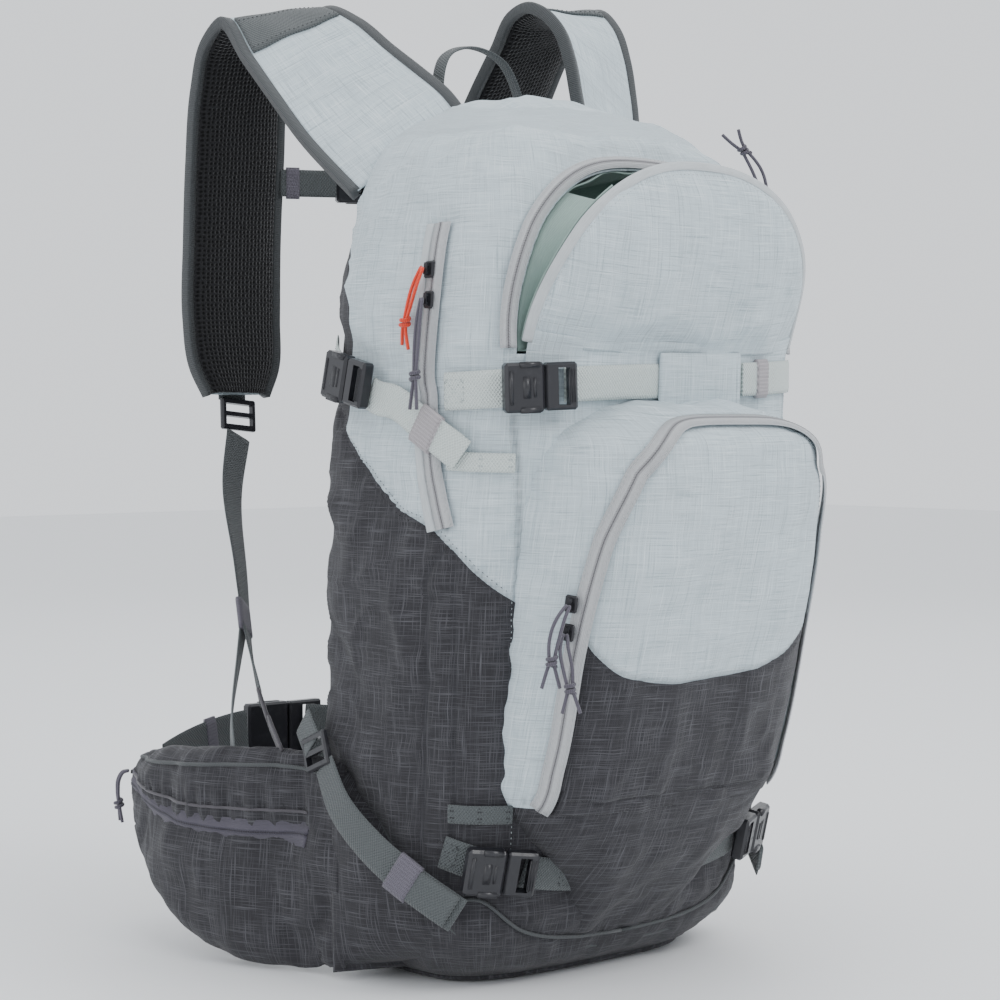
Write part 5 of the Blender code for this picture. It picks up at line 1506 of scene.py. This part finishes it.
def make_fin(side, suffix):
    """Hip fin: a soft padded wing with a zipped pocket, gathered above the zip."""
    count, around = 120, 96
    stations = [(*place, *rest) for place, *rest in zip(FIN_INNER, FIN_THICK, FIN_LOW, FIN_HIGH)]
    path = smooth_path(stations, count)
    ahead = np.gradient(path[:, :2], axis=0)
    out = unit(np.stack([-ahead[:, 1], ahead[:, 0], np.zeros(count)], -1))
    a = np.linspace(0, 2 * np.pi, around, endpoint=False)
    c, s = signed_power(np.cos(a), 0.75), signed_power(np.sin(a), 0.75)
    low, high, thick = path[:, 3:4], path[:, 4:5], path[:, 2:3]
    centre = np.stack(np.broadcast_arrays(path[:, 0:1], path[:, 1:2],
                                          (low + high) / 2 + (high - low) / 2 * s), -1)
    places = centre + out[:, None] * (thick * (1 + c) / 2)[..., None]
    normals = -grid_normals(places, True)
    if ((normals[60, 0]) @ out[60]) < 0:
        normals = -normals
    outer = np.clip(c, 0, 1)[None, :] ** 0.5
    share = (places[..., 2] - low) / (high - low)
    y = places[..., 1]
    pleats = np.sin(y * 2 * np.pi / 0.0115 + 2.2 * np.sin(y * 37))
    gather = np.exp(-(((share - FIN_ZIP - 0.10) / 0.10) ** 2)) * pleats
    ease = np.clip((y - 0.05) / 0.03, 0, 1) * np.clip((0.245 - y) / 0.02, 0, 1)
    rise = outer * (0.0011 * gather * ease + 0.0016 * ripple(places * [1, 0.8, 1.4], 0.060, 81)
                    + 0.0007 * ripple(places, 0.025, 82))
    rise -= 0.0018 * outer * np.exp(-(((share - FIN_ZIP) / 0.045) ** 2)) * ease
    places = places + normals * rise[..., None]
    ends = []
    for row in (places[0], places[-1]):
        middle = row.mean(0)
        ends.append([middle + (row - middle) * k for k in (0.7, 0.35, 0.03)])
    places = np.concatenate([np.array(ends[0])[::-1], places, np.array(ends[1])])
    places = places * [side, 1, 1]
    if side < 0:
        places = places[:, ::-1]
    along = np.concatenate([[0, 0.001, 0.002], 0.003 + length_along(path[:, :2]), [0.31, 0.311, 0.312]])
    cloth = np.stack(np.broadcast_arrays(along[:, None], places[..., 2]), -1)
    share = places[..., 2] / 0.13
    fin = grid_object("hip_fin_cover" + suffix, places, DARK_FABRIC, cloth,
                      {"seam": np.zeros(places.shape[:2])}, True)
    work = bmesh.new()
    work.from_mesh(fin.data)
    bmesh.ops.remove_doubles(work, verts=work.verts, dist=0.00005)
    bmesh.ops.recalc_face_normals(work, faces=work.faces)
    work.to_mesh(fin.data)
    work.free()
    sewn = np.abs(np.array([v.co.z for v in fin.data.vertices]) - 0.083) < 0.003
    depths = np.array([v.co.y for v in fin.data.vertices]) - SHIFT[1]
    settle(fin, np.flatnonzero(sewn | (depths < 0.040) | (depths > 0.250)), 3.0, 0.004, 20, 0.02)
    put(fin, "bag", "dark_fabric", "hip_fin" + suffix)

    tree = BVHTree.FromObject(fin, bpy.context.evaluated_depsgraph_get())

    def outside(y, share_up, lift):
        spot = np.array([np.interp(y, path[:, 1], path[:, k]) for k in range(5)])
        direction = np.array([np.interp(y, path[:, 1], out[:, k]) for k in range(3)])
        start = np.array([spot[0], spot[1], spot[3] + (spot[4] - spot[3]) * share_up]) + direction * 0.08
        hit, normal, _, _ = tree.ray_cast(Vector(start * [side, 1, 1] + SHIFT),
                                          Vector(-direction * [side, 1, 1]), 0.2)
        hit = np.array(hit) - SHIFT
        normal = np.array(normal)
        return hit + normal * lift, normal

    ys = np.linspace(0.058, 0.244, 70)
    rows = [outside(v, FIN_ZIP, 0.0002) for v in ys]
    line, normal = smooth_rows(rows)
    put(sweep("hip_zip_tape" + suffix, line, normal, zip_profile(0.0150), DARK_ZIP), "bag", "tape_dark")
    rows = [outside(v, FIN_ZIP + 0.105, 0.0004) for v in ys]
    line, normal = smooth_rows(rows)
    put(sweep("hip_zip_welt" + suffix, line, normal, round_profile(0.0010), SMOOTH_DARK), "bag",
        "dark_fabric")
    stitch("bag", DARK_THREAD, line + [0, 0, 0.0030], normal)
    ys = np.linspace(0.032, 0.262, 90)
    rows = [outside(v, 0.93, 0.0004) for v in ys]
    line, normal = smooth_rows(rows)
    put(sweep("hip_fin_piping" + suffix, line, normal, round_profile(0.0013), BINDING), "bag", "dark_fabric")


def make_wing(side, suffix):
    """Fabric that carries the hip fin forward onto the bag's side, under the stabiliser strap."""
    t, s = np.meshgrid(np.linspace(0, 1, 70), np.linspace(0, 1, 40))
    rear = np.stack([-0.1455 + 0.0 * t, 0.036 + 0.0 * t, 0.1300 - 0.1250 * t], -1)
    depth = 0.036 - 0.092 * t ** 0.9
    height = 0.1300 - 0.1180 * t ** 1.15
    on_bag = body_point(side_u(depth, height), height, 0.0008)
    places = rear * (1 - s[..., None]) + on_bag * s[..., None]
    swell = np.sin(np.pi * s) * np.sin(np.pi * np.clip(t, 0.02, 0.98)) ** 0.6
    wrinkle = ripple(places * [1, 1.4, 0.8], 0.034, 91)
    places[..., 0] -= swell * (0.0060 + 0.0016 * wrinkle)
    places = places * [side, 1, 1]
    if side < 0:
        places = places[:, ::-1]
    wing = grid_object("hip_wing" + suffix, places, DARK_FABRIC,
                       np.stack([places[..., 1], places[..., 2]], -1))
    thicken(wing, 0.0014, 0.0)
    put(wing, "bag", "dark_fabric")
    edge = on_bag[-1] * [side, 1, 1]
    out = np.repeat([[-side * 0.95, -0.3, 0.0]], 70, 0)
    put(sweep("hip_wing_piping" + suffix, edge, out, round_profile(0.0012), BINDING), "bag", "dark_fabric")


def smooth_rows(rows, passes=3):
    """Places and normals of a row of hits, evened out."""
    line = np.array([r[0] for r in rows])
    normal = np.array([r[1] for r in rows])
    for _ in range(passes):
        line[1:-1] = (line[:-2] + 2 * line[1:-1] + line[2:]) / 4
        normal[1:-1] = (normal[:-2] + 2 * normal[1:-1] + normal[2:]) / 4
    return line, unit(normal)


def make_hip_belt():
    """Hip fins, stabiliser straps and the belt's webbing."""
    for side, suffix in ((1, "_left"), (-1, "_right")):
        make_fin(side, suffix)
        make_wing(side, suffix)

    def belt(x):
        return np.stack([x, 0.2875 - 1.75 * x * x, 0.112 - 1.4 * x * x], -1)

    for name, first, last in (("hip_webbing_left", -0.1040, -0.0240), ("hip_webbing_right", 0.0260, 0.1040)):
        path = belt(np.linspace(first, last, 50))
        normals = np.stack([3.5 * path[:, 0], np.ones(50), np.zeros(50)], -1)
        put(sweep(name + "_strap", path, normals, flat_profile(0.038, WEBBING, 12), DARK_WEB), "bag",
            "webbing_dark", name)
        keeper(name + "_keeper", path, normals, 0.6 if first < 0 else 0.4, DARK_ELASTIC, "webbing_dark",
               length=0.010, width=0.041, thick=0.0036)
    for side, suffix in ((1, "_left"), (-1, "_right")):
        flip = np.array([side, 1.0, 1.0])
        route = [(-0.1520, 0.0350, 0.1300), (-0.1545, 0.0180, 0.1080), (-0.1500, -0.0060, 0.0860),
                 (-0.1400, -0.0340, 0.0660), (-0.1270, -0.0560, 0.0500)]
        path = smooth_path(route, 60)
        first, last = np.array([-1.0, 0.12, 0.0]), np.array([-0.80, -0.60, 0.0])
        t = np.linspace(0, 1, 60)[:, None]
        normals = first * (1 - t) + last * t
        put(sweep("stabiliser_strap" + suffix, path * flip, normals * flip, flat_profile(0.0215, WEBBING),
                  DARK_WEB),
            "bag", "webbing_dark")
        top = smooth_path([(-0.1470, 0.0620, 0.1530), (-0.1500, 0.0540, 0.1470), (-0.1520, 0.0460, 0.1400)],
                          16)
        put(sweep("stabiliser_anchor" + suffix, top * flip, [np.array([-1.0, 0.12, 0.1]) * flip] * 16,
                  flat_profile(0.020, WEBBING), DARK_WEB), "bag", "webbing_dark")
        keeper("stabiliser_keeper" + suffix, path * flip, normals * flip, 0.70, DARK_ELASTIC, "webbing_dark",
               length=0.016, width=0.0245, thick=0.0050)
        fold_back = path[38:58] + unit(normals[38:58]) * 0.0020
        put(sweep("stabiliser_tail" + suffix, fold_back * flip, normals[38:58] * flip,
                  flat_profile(0.0205, 0.0024),
                  DARK_WEB), "bag", "webbing_dark")

    loop_route = [(-0.034, 0.0665, 0.5250), (-0.033, 0.0700, 0.5420), (-0.024, 0.0740, 0.5620),
                  (0.0, 0.0760, 0.5700), (0.024, 0.0740, 0.5620), (0.033, 0.0700, 0.5420),
                  (0.034, 0.0665, 0.5250)]
    path = smooth_path(loop_route, 60)
    out = unit(path - [0, 0.09, 0.535])
    out[:, 1] *= 0.2
    loop = sweep("haul_loop_webbing", path, out, flat_profile(0.0095, 0.0018, 6), DARK_WEB)
    put(loop, "haul_loop", "webbing_dark", "haul_loop")
    for side, suffix in ((-1, "_left"), (1, "_right")):
        foot = smooth_path([(side * 0.0340, 0.0668, 0.5255), (side * 0.0345, 0.0680, 0.5150),
                            (side * 0.0350, 0.0688, 0.5040), (side * 0.0350, 0.0715, 0.4920)], 16)
        put(sweep("haul_loop_foot" + suffix, foot, [(side, 0.25, 0.1)] * 16, flat_profile(0.0100, 0.0022, 6),
                  DARK_WEB), "bag", "webbing_dark")


# ---------------------------------------------------------------- cords
def cord_mesh(name, route, radius, material, count=40):
    """Round braided cord along a route; it returns its centreline too."""
    path = smooth_path(route, count)
    ahead = unit(np.gradient(path, axis=0))
    helper = np.where(np.abs(ahead[:, :1]) < 0.8, [[1.0, 0.0, 0.0]], [[0.0, 1.0, 0.0]])
    normals = unit(np.cross(ahead, helper))
    obj = sweep(name, path, normals, round_profile(radius, 10), material)
    return obj, path


CORD_RADIUS = 0.00105
KNOT_AT = 0.70


def pull_cord(name, material, slot_name, route, knot_at, spread, stiffness="limp", lay="hanging"):
    """Pull of doubled cord through a slider's eye: two strands, an overhand knot and cut ends."""
    route = smooth_path(route, 40)
    t = np.linspace(0, 1, 40)
    sideways = np.array(spread)
    gap = np.sin(np.pi * np.clip(t / knot_at, 0, 1)) * 0.0016 + 0.00115
    gap = np.where(t > knot_at, 0.00115 + 0.0040 * (t - knot_at) / (1 - knot_at), gap)
    gap[0] = 0.0006
    strands = []
    for k, sign in enumerate((-1, 1)):
        path = route + sideways * (gap * sign)[:, None]
        obj, line = cord_mesh("%s_strand_%d" % (name, k + 1), path, CORD_RADIUS, material)
        strands.append((obj, line))
    index = int(knot_at * 39)
    centre, ahead = route[index], unit(route[index + 1] - route[index - 1])
    other = unit(np.cross(ahead, sideways))
    turns = []
    for k in range(70):
        a = 2 * math.pi * 2.0 * k / 69
        ring = 0.00225 + 0.0002 * math.cos(1.5 * a)
        turns.append(centre + ahead * (0.0058 * (k / 69 - 0.5)) + unit(sideways) * ring * math.cos(a)
                     + other * ring * math.sin(a))
    knot, _ = cord_mesh(name + "_knot", turns, 0.00125, material, 120)
    first, second = strands
    put(first[0], name, slot_name, name)
    put(second[0], name, slot_name)
    put(knot, name, slot_name)


PULLS = {
    "side_pull_upper": ("red", "cord_red", [(0, 0, 0), (-0.0015, 0.0035, -0.008), (-0.0020, 0.0095, -0.022),
                                            (-0.0015, 0.0140, -0.034), (0.0, 0.0150, -0.045)],
                                            (0.3, 0.9, 0.3)),
    "side_pull_lower": ("grey", "cord_grey",
                        [(0, 0, 0), (-0.0016, 0.0005, -0.010), (-0.0030, 0.0012, -0.028),
                                              (-0.0042, 0.0012, -0.046), (-0.0050, 0.0015, -0.063)],
                                              (0.3, 0.95, 0)),
    "goggle_pull": ("grey", "cord_grey", [(0, 0, 0), (-0.0010, 0.001, 0.008), (-0.0040, 0.003, 0.018),
                                          (-0.0100, 0.006, 0.028), (-0.0180, 0.008, 0.036),
                                          (-0.0230, 0.008, 0.041)], (0.7, -0.6, 0.3)),
    "pocket_pull_upper": ("grey", "cord_grey",
                          [(0, 0, 0), (-0.0050, 0.0005, -0.007), (-0.0080, 0.0030, -0.020),
                                                (-0.0080, 0.0050, -0.034), (-0.0075, 0.0060, -0.046)],
                                                (0.8, -0.5, 0)),
    "pocket_pull_lower": ("grey", "cord_grey",
                          [(0, 0, 0), (-0.0025, -0.0020, -0.007), (-0.0010, -0.0035, -0.020),
                                                (0.0010, -0.0035, -0.034), (0.0020, -0.0030, -0.044)],
                                                (0.8, -0.5, 0)),
    "hip_pull_left": ("grey", "cord_grey",
                      [(0, 0, 0), (-0.0018, 0.0036, -0.0012), (-0.0034, 0.0064, -0.0062),
                                            (-0.0038, 0.0070, -0.014), (-0.0032, 0.0062, -0.024),
                                            (-0.0025, 0.0050, -0.034)], (0.4, 0.9, 0)),
}


def make_cords():
    """The six cord pulls, each hung from its slider's eye."""
    joints = {joint["child"]: joint for joint in frame["joints"]}
    for name, (colour, slot_name, route, spread) in PULLS.items():
        eye = np.array(joints[name]["pos_m"]) - SHIFT
        places = np.array(route) + eye
        held = ("stiff", "loose") if name == "goggle_pull" else ("limp", "hanging")
        pull_cord(name, RED_CORD if colour == "red" else GREY_CORD, slot_name, places, KNOT_AT,
                  unit(spread), *held)


def block(low, high, soften):
    """Small moulded block with soft edges, in a buckle's own frame."""
    work = bmesh.new()
    bmesh.ops.create_cube(work, size=1.0)
    size = [b - a for a, b in zip(low, high)]
    middle = [(a + b) / 2 for a, b in zip(low, high)]
    bmesh.ops.transform(work, matrix=Matrix.Translation(middle) @ Matrix.Diagonal((*size, 1.0)),
                        verts=work.verts)
    bmesh.ops.bevel(work, geom=work.edges[:], offset=soften, segments=2, affect="EDGES")
    verts = np.array([v.co for v in work.verts])
    faces = [[v.index for v in f.verts] for f in work.faces]
    work.free()
    return verts, faces


def buckle_details(node_name, scale, male):
    """Side catches, ribs and bars that stand on a buckle half, found from the half's own mesh."""
    mesh = frame["nodes"][node_name].data
    points = np.array([v.co for v in mesh.vertices]) - SHIFT
    family = node_name.split("_buckle")[0] + "_buckle_male"
    joint = [j for j in frame["joints"] if j["child"].startswith(family)
             and j["child"].endswith(node_name.split("male")[-1])][0]
    along = unit(np.array(joint["axis"]))
    spread = points - points.mean(0)
    spread -= (spread @ along)[:, None] * along
    _, _, axes = np.linalg.svd(spread, full_matrices=False)
    side = unit(axes[0] - (axes[0] @ along) * along)
    out = np.cross(along, side)
    away = points.mean(0) - np.array([0.0,
                                      0.0 if "sternum" not in node_name and "hip" not in node_name else 0.15,
                                      points.mean(0)[2]])
    if out @ away < 0:
        out, side = -out, -side
    frame_axes = np.array([along, side, out])
    local = points @ frame_axes.T
    low, high = local.min(0), local.max(0)
    width, top = high[1] - low[1], high[2]
    mid = (low[1] + high[1]) / 2
    pieces = []
    if male:
        front = high[0]
        for k in range(3):
            x = front - (0.0018 + 0.0016 * k) * scale
            pieces.append(((x - 0.0005, mid - width * 0.36, top - 0.0006),
                           (x + 0.0003, mid + width * 0.36, top + 0.0005)))
    else:
        first, last = low[0], high[0]
        span = last - first
        for sign in (-1, 1):
            edge = mid + sign * width * 0.5
            a, b = sorted((edge - sign * 0.0030 * scale, edge + sign * 0.0004))
            pieces.append(((last - span * 0.62, a, top - 0.0034), (last - span * 0.12, b, top + 0.0009)))
        pieces.append(((first + span * 0.10, mid - width * 0.34, top - 0.0006),
                       (first + span * 0.20, mid + width * 0.34, top + 0.0006)))
        pieces.append(((last - span * 0.30, mid - width * 0.20, top - 0.0006),
                       (last - span * 0.22, mid + width * 0.20, top + 0.0005)))
        pieces.append(((last - span * 0.56, mid - width * 0.22, top - 0.0006),
                       (last - span * 0.36, mid + width * 0.22, top + 0.0004)))
    verts, faces = np.zeros((0, 3)), []
    for lowest, highest in pieces:
        more, quads = block(lowest, highest, 0.00035)
        faces += [[k + len(verts) for k in quad] for quad in quads]
        verts = np.concatenate([verts, more @ frame_axes])
    made = mesh_object(node_name + "_ribs", verts, faces, BUCKLE)
    body = frame["nodes"][node_name]["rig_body"]
    put(made, body, "buckle_plastic")


def finish_hard_parts():
    """Moulded plastic on the buckles and adjusters, paint on the sliders."""
    for name, obj in frame["nodes"].items():
        if "buckle" in name or "lock" in name or "adjuster" in name:
            chosen = BUCKLE
        elif "slider" in name:
            chosen = METAL
        elif name == "frame_sheet":
            chosen = SHEET_PLASTIC
        else:
            continue
        obj.data.materials.clear()
        obj.data.materials.append(chosen)
    for name in [n for n in frame["nodes"] if "_buckle_" in n]:
        buckle_details(name, 1.5 if name.startswith("hip") else 1.0, "_male" in name)


make_stage()
make_cords()
make_shell()
make_base()
make_flap()
make_pouch()
make_pocket()
make_hinge_strips()
make_zips()
make_bag_straps()
make_back()
make_harness()
make_hip_belt()
finish_hard_parts()
make_threads()
